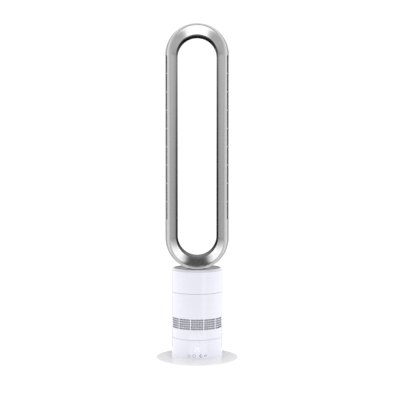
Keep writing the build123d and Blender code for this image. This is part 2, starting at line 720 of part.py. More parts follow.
def front_ring_face():
    """Section of the front part: flare, rounded rim, outer band and, behind the band, the slotted shelf."""
    flare = line_along(flare_radius, RIM_Y, THROAT_FRONT_Y, 5)
    flare_back = line_along(flare_radius, THROAT_FRONT_Y, WEDGE_Y, 4, SHELL_WALL)
    rim_top = (RIM_RADIUS + 1.1, RIM_Y + 0.9)
    band_back = (SHELF_INNER, SHELF_Y)
    band_front = (BAND_RADIUS, BAND_FRONT_Y)
    wedge = (BAND_RADIUS - SHELL_WALL, BAND_FRONT_Y - 1)
    shelf_corner = (SHELF_INNER - SHELL_WALL, SHELF_Y + SHELF_THICKNESS)
    shelf_edge = (SHELF_OUTER, SHELF_Y + SHELF_THICKNESS)
    return make_face([
        Line((SHELF_OUTER, SHELF_Y), band_back),
        Line(band_back, band_front),
        Spline(band_front, (83.4, -59.0), (80.9, -68.6), rim_top, tangents=((-0.02, -1), (-1, -0.35))),
        ThreePointArc(rim_top, (RIM_RADIUS + 0.4, RIM_Y + 0.1), flare[0]),
        Spline(*flare),
        Line(flare[-1], flare_back[0]),
        Spline(*flare_back),
        Line(flare_back[-1], wedge),
        Line(wedge, shelf_corner),
        Line(shelf_corner, shelf_edge),
        Line(shelf_edge, (SHELF_OUTER, SHELF_Y)),
    ])


def back_curve(steps=6):
    """Points of the rounded back: an eased lip, then a quarter of a superellipse from belly to nose."""
    points = [(LIP_OUTER, LIP_Y)]
    for step in range(steps + 1):
        turn = math.pi / 2 * step / steps
        radius = NOSE_RADIUS + (LOOP_OUTER - NOSE_RADIUS) * math.cos(turn) ** (2 / BACK_POWER)
        depth = BELLY_Y + (BACK_Y - BELLY_Y) * math.sin(turn) ** (2 / BACK_POWER)
        points.append((radius, depth))
    return points


def rear_shell_face():
    """Section of the rear part: the lip, the round outer back, the nose and the wall under the liner."""
    outer = back_curve()
    inner = offset_points(outer, SHELL_WALL)[::-1]
    inner[-1] = (LIP_INNER, LIP_Y)
    wall = line_along(liner_radius, THROAT_BACK_Y, THROAT_FRONT_Y + 0.3, 3, LINER_THICKNESS + 0.05)
    wall_back = line_along(liner_radius, THROAT_FRONT_Y + 0.3, 67.0, 3, LINER_THICKNESS + SHELL_WALL)
    nose = (58.2, 73.2)
    nose_end = (THROAT_BACK_RADIUS, THROAT_BACK_Y + 0.3)
    return make_face([
        Spline(*outer),
        ThreePointArc(outer[-1], nose, nose_end),
        Line(nose_end, (wall[0][0], nose_end[1])),
        Line((wall[0][0], nose_end[1]), wall[0]),
        Spline(*wall),
        Line(wall[-1], wall_back[0]),
        Spline(*wall_back),
        Line(wall_back[-1], inner[0]),
        Spline(*inner),
        Line(inner[-1], outer[0]),
    ])


def throat_liner_face():
    shown = line_along(liner_radius, THROAT_FRONT_Y + 0.2, THROAT_BACK_Y, 3)
    hidden = line_along(liner_radius, THROAT_BACK_Y, THROAT_FRONT_Y + 0.2, 3, LINER_THICKNESS)
    return make_face([
        Spline(*shown), Line(shown[-1], hidden[0]), Spline(*hidden), Line(hidden[-1], shown[0]),
    ])


def slot_places():
    return [SLOT_START + SLOT_PITCH * step for step in range(SLOT_COUNT)]


def loop_front_ring():
    front = carried_round(front_ring_face())
    for side in (-1, 1):
        edges = sorted((side * SLOT_INNER, side * SLOT_OUTER))
        front -= [block(*edges, SHELF_Y - 2, SHELF_Y + 5, low, low + SLOT_LENGTH) for low in slot_places()]
    return front


def loop_rear_shell():
    shell = carried_round(rear_shell_face())
    shell -= neck_hole(0.4, 250, 276)
    shell -= [Pos(x, y, 0) * disc(NECK_SCREW_RADIUS + 0.2, 250, 272) for x, y in neck_screw_places()]
    return shell


def throat_liner():
    return carried_round(throat_liner_face())


def slot_spacers():
    """Small bridges that hold the slot open behind each rib between two slots."""
    spacers = []
    for low in slot_places()[1:]:
        middle = low - (SLOT_PITCH - SLOT_LENGTH) / 2
        for side in (-1, 1):
            edges = sorted((side * 81.0, side * 89.2))
            spacers.append(block(*edges, SHELF_Y + SHELF_THICKNESS, 8, middle - 1.0, middle + 1.0))
    return group(spacers)


def neck_bracket():
    """Two curved straps inside the loop, one each side of the neck, that the neck screws pull against."""
    strap_outer = LOOP_OUTER - SHELL_WALL - 2.0
    band = Cylinder(strap_outer, NECK_HIGH_Y - NECK_LOW_Y) - Cylinder(strap_outer - 2.4, 40)
    band = Pos(0, NECK_Y, LOWER_ARC_Z) * Rot(90, 0, 0) * band
    band = band & block(-34, 34, 4, 36, 240, 290)
    band -= neck_hole(0.4, 240, 290)
    return band - [Pos(x, y, 0) * disc(NECK_SCREW_RADIUS + 0.05, 240, 290) for x, y in neck_screw_places()]


def neck_screws():
    fastener = disc(3.2, CAP_LOW - 2, CAP_LOW) + disc(NECK_SCREW_RADIUS, CAP_LOW, NECK_TOP + 3)
    return group([Pos(x, y, 0) * fastener for x, y in neck_screw_places()])


def main():
    os.makedirs("parts", exist_ok=True)
    nodes = {
        "base_plate": base_plate(),
        "ballast_ring": ballast_ring(),
        "base_cover": base_cover(),
        "rubber_feet": rubber_feet(),
        "base_screws": base_screws(),
        "control_casing": control_casing(),
        "casing_screws": casing_screws(),
        "touch_board": touch_board(),
        "touch_springs": touch_springs(),
        "display_board": display_board(),
        "display_module": display_module(),
        "main_board": main_board(),
        "board_screws": board_screws(),
        "power_socket": power_socket(),
        "turntable_plate": turntable_plate(),
        "turntable_screws": turntable_screws(),
        "slide_ring": slide_ring(),
        "swivel_motor": swivel_motor(),
        "swivel_motor_screws": swivel_motor_screws(),
        "swivel_pinion": swivel_pinion(),
        "pinion_shaft": pinion_shaft(),
        "swivel_deck": swivel_deck(),
        "hub_clip": hub_clip(),
        "swivel_sector": swivel_sector(),
        "sector_screws": sector_screws(),
        "deck_screws": deck_screws(),
        "intake_casing": intake_casing(),
        "dust_screen": dust_screen(),
        "impeller_shroud": impeller_shroud(),
        "vibration_mounts": vibration_mounts(),
        "impeller": impeller(),
        "motor_shaft": motor_shaft(),
        "rotor_bell": rotor_bell(),
        "rotor_magnet": rotor_magnet(),
        "stator_core": stator_core(),
        "stator_coils": stator_coils(),
        "bearing_tube": bearing_tube(),
        "lower_bearing": motor_bearing(TUBE_LOW + 1),
        "upper_bearing": motor_bearing(ROTOR_HIGH),
        "motor_screws": motor_screws(),
        "diffuser": diffuser(),
        "motor_board": motor_board(),
        "tail_cone": tail_cone(),
        "joint_ring": joint_ring(),
        "upper_casing": upper_casing(),
        "neck_duct": neck_duct(),
        "neck_seal": neck_seal(),
        "collar_ring": collar_ring(),
        "top_cap": top_cap(),
        "cap_screws": cap_screws(),
        "loop_front_ring": loop_front_ring(),
        "loop_rear_shell": loop_rear_shell(),
        "throat_liner": throat_liner(),
        "slot_spacers": slot_spacers(),
        "neck_bracket": neck_bracket(),
        "neck_screws": neck_screws(),
    }
    for name, shape in nodes.items():
        save(name, shape)


main()
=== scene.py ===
import logging
from dataclasses import dataclass, field, replace
from enum import Enum
from typing import Sequence

import bmesh
import bpy
import numpy as np
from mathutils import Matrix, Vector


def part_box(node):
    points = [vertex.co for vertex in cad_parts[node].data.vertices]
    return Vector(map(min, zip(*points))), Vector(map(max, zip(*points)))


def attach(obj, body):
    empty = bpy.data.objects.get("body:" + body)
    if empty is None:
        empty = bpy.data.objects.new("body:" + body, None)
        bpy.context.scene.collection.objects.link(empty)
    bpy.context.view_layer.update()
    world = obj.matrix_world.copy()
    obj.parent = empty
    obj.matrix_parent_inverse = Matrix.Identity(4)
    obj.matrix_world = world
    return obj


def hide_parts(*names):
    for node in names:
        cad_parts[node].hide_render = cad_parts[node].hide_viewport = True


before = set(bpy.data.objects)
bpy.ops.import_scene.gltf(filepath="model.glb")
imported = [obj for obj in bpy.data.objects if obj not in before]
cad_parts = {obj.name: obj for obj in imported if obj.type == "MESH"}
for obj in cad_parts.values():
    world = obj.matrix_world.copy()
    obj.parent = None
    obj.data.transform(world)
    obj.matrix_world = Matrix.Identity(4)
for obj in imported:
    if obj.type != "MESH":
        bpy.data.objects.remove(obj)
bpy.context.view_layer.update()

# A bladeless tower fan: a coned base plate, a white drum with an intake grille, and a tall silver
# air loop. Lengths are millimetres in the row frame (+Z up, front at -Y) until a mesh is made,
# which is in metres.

MM = 0.001
WELD_DISTANCE = 1e-6  # metres within which points are one
SAME_PLACE = 1e-4  # millimetres within which two points of an outline are one
DRUM_DRAFT = 1.0  # the drum's skin lies this far inside the casing's box
FOOT_REACH = 4.2  # the drum reaches this far below the casing's box
ROUND = 256  # divisions round the drum and the plate
LEAST_ROUGHNESS = 0.02
GLOSS_RATIO = 2.7  # how much finer the gloss drifts than the colour
MIX_FACTOR, MIX_FIRST, MIX_SECOND, MIX_RESULT = 0, 6, 7, 2  # a colour mix's sockets
CROSS = np.array([(1, 0), (0, 1), (-1, 0), (0, -1)])  # four places round an axis
Stops = tuple[tuple[float, float], ...]

log = logging.getLogger("bladeless_fan")


class Body(Enum):
    """The moving groups of the fan."""

    BASE = "base"
    TOWER = "tower"


class Slot(Enum):
    """Material slots of the record for the new pieces."""

    PLATE = "plate_white"
    CASING = "body_white"
    COLLAR = "collar_white"
    LOOP = "loop_silver"
    THROAT = "throat_black"
    SCREEN = "screen_grey"


class Relief(Enum):
    """Kinds of fine surface relief."""

    GRAIN = "fine moulded grain"
    PEEL = "slow waves of a sprayed or polished skin"
    FLAKE = "small metal flakes in lacquer"
    BRUSHED = "fine parallel scratches"
    WOUND = "turns of wire"
    CAST = "coarse cast skin"


# -----------------------------------------------------------------------------
# Shapes
# -----------------------------------------------------------------------------
@dataclass
class Sheet:
    """A grid of points that becomes quads.

    Args:
        points: array (rows, columns, 3) in millimetres.
        wrap_rows: join the last row to the first.
        wrap_columns: join the last column to the first.
    """

    points: np.ndarray
    wrap_rows: bool = False
    wrap_columns: bool = True

    def quads(self, start: int) -> np.ndarray:
        """Corner numbers of every quad.

        Args:
            start: number of the sheet's first point in the whole mesh.

        Returns:
            Array (quads, 4).
        """
        rows, columns = self.points.shape[:2]
        index = np.arange(rows * columns).reshape(rows, columns) + start
        if self.wrap_rows:
            index = np.vstack([index, index[:1]])
        if self.wrap_columns:
            index = np.hstack([index, index[:, :1]])
        corners = [index[:-1, :-1], index[1:, :-1], index[1:, 1:], index[:-1, 1:]]
        return np.stack(corners, axis=-1).reshape(-1, 4)


def node_box(node: str) -> np.ndarray:
    """Corners of a CAD node at rest.

    Args:
        node: the node's name.

    Returns:
        Array (2, 3) with the lowest and highest corner in millimetres.
    """
    return np.array([list(corner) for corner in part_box(node)]) / MM


def drum_radius() -> float:
    """Radius of the drum's skin: the casing's, less a small draft."""
    return node_box("control_casing")[1, 0] - DRUM_DRAFT


def drum_foot() -> float:
    """Height of the drum's foot, which reaches down round a step of the plate."""
    return node_box("control_casing")[0, 2] - FOOT_REACH


def rounded(
    corners: Sequence[tuple[float, float, float]], steps: int = 5, closed: bool = True
) -> np.ndarray:
    """An outline whose corners are eased.

    Each corner c with ease e is replaced by the parabola (1-t)^2 p + 2t(1-t) c + t^2 q, where p
    and q lie on the two neighbouring edges at distance e from c.

    Args:
        corners: (first, second, ease) for each corner.
        steps: stretches along each eased corner.
        closed: join the last corner to the first; an open line keeps its ends.

    Returns:
        Array (points, 2).
    """
    table = np.array(corners, float)
    place, ease = table[:, :2], table[:, 2:3]
    before, after = np.roll(place, 1, axis=0) - place, np.roll(place, -1, axis=0) - place
    before /= np.linalg.norm(before, axis=1, keepdims=True)
    after /= np.linalg.norm(after, axis=1, keepdims=True)
    start, end = place + before * ease, place + after * ease
    if not closed:
        start[0] = end[0] = place[0]
        start[-1] = end[-1] = place[-1]
    share = np.linspace(0, 1, steps + 1)[None, :, None]
    start, corner, end = start[:, None], place[:, None], end[:, None]
    bend = (1 - share) ** 2 * start + 2 * share * (1 - share) * corner + share**2 * end
    line = bend.reshape(-1, 2)
    apart = np.linalg.norm(line - np.roll(line, 1, axis=0), axis=1) > SAME_PLACE
    return line[apart | (np.arange(len(line)) == 0)]


def revolved(outline: np.ndarray, segments: int = 192, closed: bool = True) -> Sheet:
    """A surface of revolution: point (r, z) turned by angle a lies at (r sin a, -r cos a, z).

    Args:
        outline: array (points, 2) of radius and height.
        segments: divisions around Z.
        closed: the outline is a ring, not a line between two poles.

    Returns:
        The sheet.
    """
    angle = np.linspace(0, 2 * np.pi, segments, endpoint=False)
    radius, height = outline[:, :1], outline[:, 1:]
    across, depth = radius * np.sin(angle), -radius * np.cos(angle)
    points = np.stack([across, depth, height + 0 * angle], axis=-1)
    return Sheet(points, wrap_rows=closed)


def lofted(loops: np.ndarray) -> Sheet:
    """Closed loops joined in order and shut at both ends by a fan to each end loop's middle.

    Args:
        loops: array (loops, points, 3).

    Returns:
        The sheet.
    """
    first = np.repeat(loops[:1].mean(axis=1, keepdims=True), loops.shape[1], axis=1)
    last = np.repeat(loops[-1:].mean(axis=1, keepdims=True), loops.shape[1], axis=1)
    return Sheet(np.concatenate([first, loops, last]))


def post(x: float, y: float, radius: float, low: float, high: float, segments: int = 24) -> Sheet:
    """An upright round pin with eased rims.

    Args:
        x: place across.
        y: place in depth.
        radius: the pin's radius.
        low: height of its foot.
        high: height of its head.
        segments: divisions around.

    Returns:
        The sheet.
    """
    ease = min(0.3, radius * 0.2)
    corners = [(0, low, 0), (radius, low, ease), (radius, high, ease), (0, high, 0)]
    line = rounded(corners, 3, closed=False)
    sheet = revolved(line, segments, closed=False)
    sheet.points = sheet.points + np.array([x, y, 0.0])
    return sheet


def on_drum(
    across: np.ndarray, height: np.ndarray, radius: np.ndarray, middle: float
) -> np.ndarray:
    """Wraps flat marks round the drum.

    A distance u along the skin turns by u / R from the angle asin(x / R).

    Args:
        across: distances along the skin from the mark's middle.
        height: heights above the floor.
        radius: radii of the points.
        middle: x of the mark's middle.

    Returns:
        Array (..., 3) of places.
    """
    drum = drum_radius()
    angle = np.arcsin(middle / drum) + across / drum
    return np.stack([radius * np.sin(angle), -radius * np.cos(angle), height], axis=-1)


def stroke(
    line: np.ndarray, width: float, low: float, high: float, middle: float, closed: bool = False
) -> Sheet:
    """A thin raised line on the drum's skin: a flat band along a drawn line, with square sides.

    Args:
        line: array (points, 2) of distance along the skin and height.
        width: the band's width.
        low: radius of its hidden face.
        high: radius of its shown face.
        middle: x of the mark's middle.
        closed: the line is a ring.

    Returns:
        The sheet.
    """
    along = np.gradient(line, axis=0)
    if closed:
        along = np.roll(line, -1, axis=0) - np.roll(line, 1, axis=0)
    along /= np.linalg.norm(along, axis=1, keepdims=True)
    side = np.stack([-along[:, 1], along[:, 0]], axis=1) * width / 2
    left, right = line + side, line - side
    flat = np.stack([left, left, right, right], axis=1)
    radius = np.broadcast_to(np.array([low, high, high, low]), flat.shape[:2])
    points = on_drum(flat[..., 0], flat[..., 1], radius, middle)
    return Sheet(points, wrap_rows=True) if closed else lofted(points)


def arc_line(
    radius: float,
    start: float,
    end: float,
    centre: tuple[float, float] = (0.0, 0.0),
    steps: int = 32,
) -> np.ndarray:
    """Points of a flat arc; angles in degrees, 0 to the right and 90 up.

    Args:
        radius: the arc's radius.
        start: first angle.
        end: last angle.
        centre: the arc's middle.
        steps: stretches.

    Returns:
        Array (steps + 1, 2).
    """
    angle = np.radians(np.linspace(start, end, steps + 1))
    across, rise = centre[0] + radius * np.cos(angle), centre[1] + radius * np.sin(angle)
    return np.stack([across, rise], axis=1)


@dataclass(frozen=True)
class Stadium:
    """The loop's running line: two half circles joined by two straight sides.

    A point at radius r, depth y and turn f about the centre height c lies at
    (r cos f, y, c + r sin f).

    Args:
        lower: height of the lower centre.
        upper: height of the upper centre.
        arc_steps: divisions of each half circle.
        side_steps: divisions of each straight side.
        foot_power: power of the sine by which the foot's own section fades out.
    """

    lower: float
    upper: float
    arc_steps: int = 96
    side_steps: int = 36
    foot_power: int = 24

    def path(self) -> np.ndarray:
        """Turn and centre height all the way round.

        Returns:
            Array (stations, 2).
        """
        rise = np.linspace(self.lower, self.upper, self.side_steps, endpoint=False)
        turn = np.linspace(0, np.pi, self.arc_steps, endpoint=False)
        right = np.stack([0 * rise, rise], axis=1)
        top = np.stack([turn, 0 * turn + self.upper], axis=1)
        left = np.stack([0 * rise + np.pi, self.upper + self.lower - rise], axis=1)
        foot = np.stack([turn + np.pi, 0 * turn + self.lower], axis=1)
        return np.concatenate([right, top, left, foot])

    def place(self, section: np.ndarray, path: np.ndarray) -> np.ndarray:
        """Carries a section along stations of the path.

        Args:
            section: array (points, 2) of radius and depth.
            path: array (stations, 2) of turn and centre height.

        Returns:
            Array (stations, points, 3).
        """
        radius, depth = section[:, 0], section[:, 1]
        turn, centre = path[:, :1], path[:, 1:]
        across, height = radius * np.cos(turn), centre + radius * np.sin(turn)
        return np.stack([across, depth + 0 * turn, height], axis=-1)

    def carry(
        self,
        section: np.ndarray,
        arc_section: np.ndarray | None = None,
        foot_section: np.ndarray | None = None,
    ) -> Sheet:
        """A closed section carried all the way round.

        Args:
            section: array (points, 2) of radius and depth.
            arc_section: the section at the top and the foot; between it and the sides the two
                are mixed with the square of the turn's sine.
            foot_section: the section on the foot's middle line, mixed in with a high power
                of the sine.

        Returns:
            The sheet.
        """
        path = self.path()
        points = self.place(section, path)
        if arc_section is not None:
            share = np.sin(path[:, :1, None]) ** 2
            points = points * (1 - share) + self.place(arc_section, path) * share
        if foot_section is not None:
            share = np.clip(-np.sin(path[:, :1, None]), 0, 1) ** self.foot_power
            points = points * (1 - share) + self.place(foot_section, path) * share
        return Sheet(points, wrap_rows=True)


# -----------------------------------------------------------------------------
# Finishes
# -----------------------------------------------------------------------------
class Graph:
    """Short helper for a material's nodes."""

    def __init__(self, name: str) -> None:
        """Makes a material with a plain shader.

        Args:
            name: the material's name.
        """
        self.material = bpy.data.materials.new(name)
        self.material.use_nodes = True
        self.nodes = self.material.node_tree.nodes
        self.links = self.material.node_tree.links
        self.shader = self.nodes["Principled BSDF"]
        self.space = self.add("ShaderNodeTexCoord").outputs["Object"]

    def add(self, kind: str, **values: float) -> bpy.types.Node:
        """Adds a node.

        Args:
            kind: the node's type.
            **values: inputs by name, with _ for a space.

        Returns:
            The node.
        """
        node = self.nodes.new(kind)
        for name, value in values.items():
            node.inputs[name.replace("_", " ")].default_value = value
        return node

    def link(self, output: bpy.types.NodeSocket, entry: bpy.types.NodeSocket) -> None:
        """Joins two sockets."""
        self.links.new(output, entry)

    def noise(
        self,
        scale: float,
        detail: float = 3.0,
        stretch: tuple[float, float, float] = (1, 1, 1),
    ) -> bpy.types.NodeSocket:
        """Smooth noise in object space.

        Args:
            scale: waves per metre.
            detail: octaves.
            stretch: factors for the three axes.

        Returns:
            The value socket.
        """
        mapping = self.add("ShaderNodeMapping", Scale=stretch)
        self.link(self.space, mapping.inputs["Vector"])
        node = self.add("ShaderNodeTexNoise", Scale=scale, Detail=detail)
        self.link(mapping.outputs["Vector"], node.inputs["Vector"])
        return node.outputs["Fac"]


@dataclass(frozen=True)
class Finish:
    """A procedural surface finish.

    Args:
        name: the material's name.
        colour: linear base colour.
        roughness: gloss of the skin, 0 polished.
        metallic: 1 for bare metal.
        coat: weight of a clear top coat.
        coat_roughness: roughness of that coat.
        mottle: share by which the colour drifts.
        mottle_scale: drifts per metre.
        relief: kind of fine relief.
        relief_scale: relief waves per metre.
        relief_depth: height of the relief in millimetres.
        wear: change of roughness over the skin.
        ior: index of refraction.
        glow: strength of its own white light.
    """

    name: str
    colour: tuple[float, float, float]
    roughness: float = 0.4
    metallic: float = 0.0
    coat: float = 0.0
    coat_roughness: float = 0.04
    mottle: float = 0.03
    mottle_scale: float = 30.0
    relief: Relief = Relief.GRAIN
    relief_scale: float = 2500.0
    relief_depth: float = 0.01
    wear: float = 0.05
    ior: float = 1.46
    glow: float = 0.0

    def height(self, graph: Graph) -> bpy.types.NodeSocket:
        """The relief's height field.

        Args:
            graph: the material's nodes.

        Returns:
            A value socket from 0 to 1.
        """
        if self.relief is Relief.BRUSHED:
            return graph.noise(self.relief_scale, 2.0, (1, 1, 0.03))
        if self.relief is Relief.CAST:
            return graph.noise(self.relief_scale, 8.0)
        if self.relief is Relief.FLAKE:
            cells = graph.add("ShaderNodeTexVoronoi", Scale=self.relief_scale)
            graph.link(graph.space, cells.inputs["Vector"])
            return cells.outputs["Distance"]
        if self.relief is Relief.WOUND:
            wave = graph.add(
                "ShaderNodeTexWave", Scale=self.relief_scale, Distortion=0.4, Detail_Scale=8.0
            )
            wave.bands_direction = "Z"
            graph.link(graph.space, wave.inputs["Vector"])
            return wave.outputs["Fac"]
        return graph.noise(self.relief_scale, 1.0 if self.relief is Relief.PEEL else 4.0)

    def material(self) -> bpy.types.Material:
        """Makes the material once and returns it.

        Returns:
            The material.
        """
        made = bpy.data.materials.get(self.name)
        if made is not None:
            return made
        graph = Graph(self.name)
        shader = graph.shader
        shader.inputs["Metallic"].default_value = self.metallic
        shader.inputs["IOR"].default_value = self.ior
        shader.inputs["Emission Color"].default_value = (1, 1, 1, 1)
        shader.inputs["Emission Strength"].default_value = self.glow
        shader.inputs["Coat Weight"].default_value = self.coat
        shader.inputs["Coat Roughness"].default_value = self.coat_roughness
        tones = graph.add("ShaderNodeMix")
        tones.data_type = "RGBA"
        dark = [part * (1 - self.mottle) for part in self.colour]
        light = [min(1.0, part * (1 + self.mottle)) for part in self.colour]
        tones.inputs[MIX_FIRST].default_value = (*dark, 1)
        tones.inputs[MIX_SECOND].default_value = (*light, 1)
        graph.link(graph.noise(self.mottle_scale), tones.inputs[MIX_FACTOR])
        graph.link(tones.outputs[MIX_RESULT], shader.inputs["Base Color"])
        gloss = graph.add("ShaderNodeMapRange")
        gloss.inputs["To Min"].default_value = max(LEAST_ROUGHNESS, self.roughness - self.wear)
        gloss.inputs["To Max"].default_value = min(1.0, self.roughness + self.wear)
        graph.link(graph.noise(self.mottle_scale * GLOSS_RATIO), gloss.inputs["Value"])
        graph.link(gloss.outputs["Result"], shader.inputs["Roughness"])
        bump = graph.add("ShaderNodeBump", Distance=self.relief_depth * MM, Strength=1.0)
        graph.link(self.height(graph), bump.inputs["Height"])
        graph.link(bump.outputs["Normal"], shader.inputs["Normal"])
        return graph.material


DRUM_WHITE = Finish(
    "gloss_white_drum", (0.79, 0.795, 0.875), 0.16, coat=0.6, mottle=0.006,
    relief=Relief.PEEL, relief_scale=160, relief_depth=0.004, wear=0.02,
)
PLATE_WHITE = Finish(
    "satin_white_plate", (0.86, 0.86, 0.87), 0.16, mottle=0.006,
    relief=Relief.PEEL, relief_scale=160, relief_depth=0.004, wear=0.02,
)
COLLAR_WHITE = Finish(
    "satin_white_collar", (0.72, 0.72, 0.77), 0.28, coat=0.3, mottle=0.01,
    relief=Relief.PEEL, relief_scale=200, relief_depth=0.003, wear=0.03,
)
LOOP_SILVER = Finish(
    "silver_lacquer", (0.51, 0.51, 0.515), 0.12, metallic=0.95, coat=0.1, mottle=0.008,
    relief=Relief.FLAKE, relief_scale=2600, relief_depth=0.0003, wear=0.015,
)
THROAT_BLACK = Finish(
    "gloss_black_throat", (0.012, 0.012, 0.013), 0.08, mottle=0.1,
    relief=Relief.PEEL, relief_scale=220, relief_depth=0.002, wear=0.03,
)
CAP_GREY = Finish("satin_grey_cap", (0.40, 0.395, 0.43), 0.35, coat=0.1, mottle=0.02, wear=0.03)
CLOTH_GREY = Finish(
    "grey_filter_cloth", (0.52, 0.52, 0.58), 0.9, mottle=0.1, mottle_scale=900,
    relief_scale=1800, relief_depth=0.1,
)
ICON_GREY = Finish(
    "printed_grey_mark", (0.22, 0.22, 0.25), 0.35, mottle=0.02, relief_depth=0.003
)
DIGIT_WHITE = Finish(
    "glowing_white_digit", (0.92, 0.92, 0.97), 0.3, mottle=0.01, relief_depth=0.003, glow=0.12
)
INNER_GREY = Finish("moulded_grey_duct", (0.33, 0.33, 0.35), 0.5)
WHEEL_GREY = Finish(
    "glass_filled_grey_wheel", (0.19, 0.20, 0.22), 0.42, mottle=0.08, mottle_scale=90,
    relief_depth=0.015,
)
BLACK_PLASTIC = Finish("moulded_black_plastic", (0.02, 0.02, 0.022), 0.5, relief_depth=0.02)
NET_GREY = Finish("grey_net", (0.42, 0.42, 0.46), 0.55, mottle=0.05)
DISPLAY_BLACK = Finish(
    "smoked_display", (0.015, 0.015, 0.018), 0.12, coat=0.5, mottle=0.05, relief_depth=0.001
)
NYLON = Finish("natural_nylon", (0.78, 0.76, 0.69), 0.45)
RUBBER = Finish(
    "soft_black_rubber", (0.035, 0.035, 0.037), 0.8, mottle=0.12,
    relief_scale=1400, relief_depth=0.03,
)
BOARD_GREEN = Finish(
    "green_circuit_board", (0.02, 0.17, 0.07), 0.35, coat=0.3, mottle=0.35, mottle_scale=420
)
STEEL = Finish(
    "turned_steel", (0.56, 0.56, 0.57), 0.28, metallic=1.0,
    relief=Relief.BRUSHED, relief_depth=0.004,
)
IRON = Finish(
    "cast_iron", (0.10, 0.10, 0.105), 0.65, metallic=0.5, mottle=0.2,
    relief=Relief.CAST, relief_scale=500, relief_depth=0.15,
)
MAGNET = Finish(
    "sintered_magnet", (0.13, 0.13, 0.14), 0.5, metallic=0.6, mottle=0.12,
    relief=Relief.CAST, relief_scale=1200, relief_depth=0.02,
)
COPPER = Finish(
    "wound_copper", (0.75, 0.33, 0.16), 0.3, metallic=1.0, coat=0.5,
    relief=Relief.WOUND, relief_scale=320, relief_depth=0.25,
)
ALUMINIUM = Finish(
    "brushed_aluminium", (0.73, 0.73, 0.74), 0.3, metallic=1.0,
    relief=Relief.BRUSHED, relief_depth=0.005,
)


# -----------------------------------------------------------------------------
# Pieces
# -----------------------------------------------------------------------------
def welded_mesh(name: str, sheets: Sequence[Sheet]) -> bpy.types.Mesh:
    """Joins sheets into one mesh in metres, with closed seams and poles and normals outwards.

    Args:
        name: the mesh's name.
        sheets: its surfaces, in millimetres.

    Returns:
        The mesh.
    """
    starts = np.cumsum([0] + [sheet.points[..., 0].size for sheet in sheets])
    places = np.concatenate([sheet.points.reshape(-1, 3) for sheet in sheets]) * MM
    quads = np.concatenate([sheet.quads(start) for sheet, start in zip(sheets, starts)])
    mesh = bpy.data.meshes.new(name)
    mesh.from_pydata(places.tolist(), [], quads.tolist())
    shape = bmesh.new()
    shape.from_mesh(mesh)
    bmesh.ops.remove_doubles(shape, verts=shape.verts, dist=WELD_DISTANCE)
    bmesh.ops.recalc_face_normals(shape, faces=shape.faces)
    shape.to_mesh(mesh)
    shape.free()
    return mesh


def make_piece(
    name: str,
    sheets: Sequence[Sheet],
    body: Body,
    finish: Finish,
    slot: Slot,
    replaces: Sequence[str] = (),
    crease: float = 32.0,
) -> bpy.types.Object:
    """Makes one mesh object from sheets, dresses it, hangs it on its moving group and hides the CAD
    nodes it stands for.

    Args:
        name: the object's name.
        sheets: its surfaces, in millimetres.
        body: the moving group it rides on.
        finish: its finish.
        slot: the record's slot; not used.
        replaces: CAD nodes that it stands for.
        crease: edges bent by more than this many degrees stay sharp.

    Returns:
        The object.
    """
    mesh = welded_mesh(name, sheets)
    mesh.shade_smooth()
    mesh.set_sharp_from_angle(angle=np.radians(crease))
    mesh.materials.append(finish.material())
    piece = bpy.data.objects.new(name, mesh)
    bpy.context.scene.collection.objects.link(piece)
    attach(piece, body.value)
    if replaces:
        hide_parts(*replaces)
    log.info("piece %s: %d faces on %s", name, len(mesh.polygons), body.value)
    return piece


def cut_away(piece: bpy.types.Object, cutter: Sheet) -> None:
    """Cuts a closed shape out of a piece and keeps the result as its mesh.

    Args:
        piece: the object to cut.
        cutter: the shape to take away.
    """
    tool = bpy.data.objects.new("cutter", welded_mesh("cutter", [cutter]))
    bpy.context.scene.collection.objects.link(tool)
    step = piece.modifiers.new("cut", "BOOLEAN")
    step.operation = "DIFFERENCE"
    step.object = tool
    shapes = bpy.context.evaluated_depsgraph_get()
    whole = bpy.data.meshes.new_from_object(piece.evaluated_get(shapes))
    piece.modifiers.clear()
    whole.name = piece.name
    piece.data = whole
    bpy.data.objects.remove(tool)


def along_y(
    radius: float, x: float, z: float, front: float, back: float, segments: int = 48
) -> Sheet:
    """A round rod along Y, as a cutter.

    Args:
        radius: the rod's radius.
        x: place across.
        z: height.
        front: first depth.
        back: last depth.
        segments: divisions around.

    Returns:
        The sheet.
    """
    angle = np.linspace(0, 2 * np.pi, segments, endpoint=False)
    across, height = x + radius * np.cos(angle), z + radius * np.sin(angle)
    ring = np.stack([across, 0 * angle, height], axis=-1)
    return lofted(np.stack([ring + [0, front, 0], ring + [0, back, 0]]))


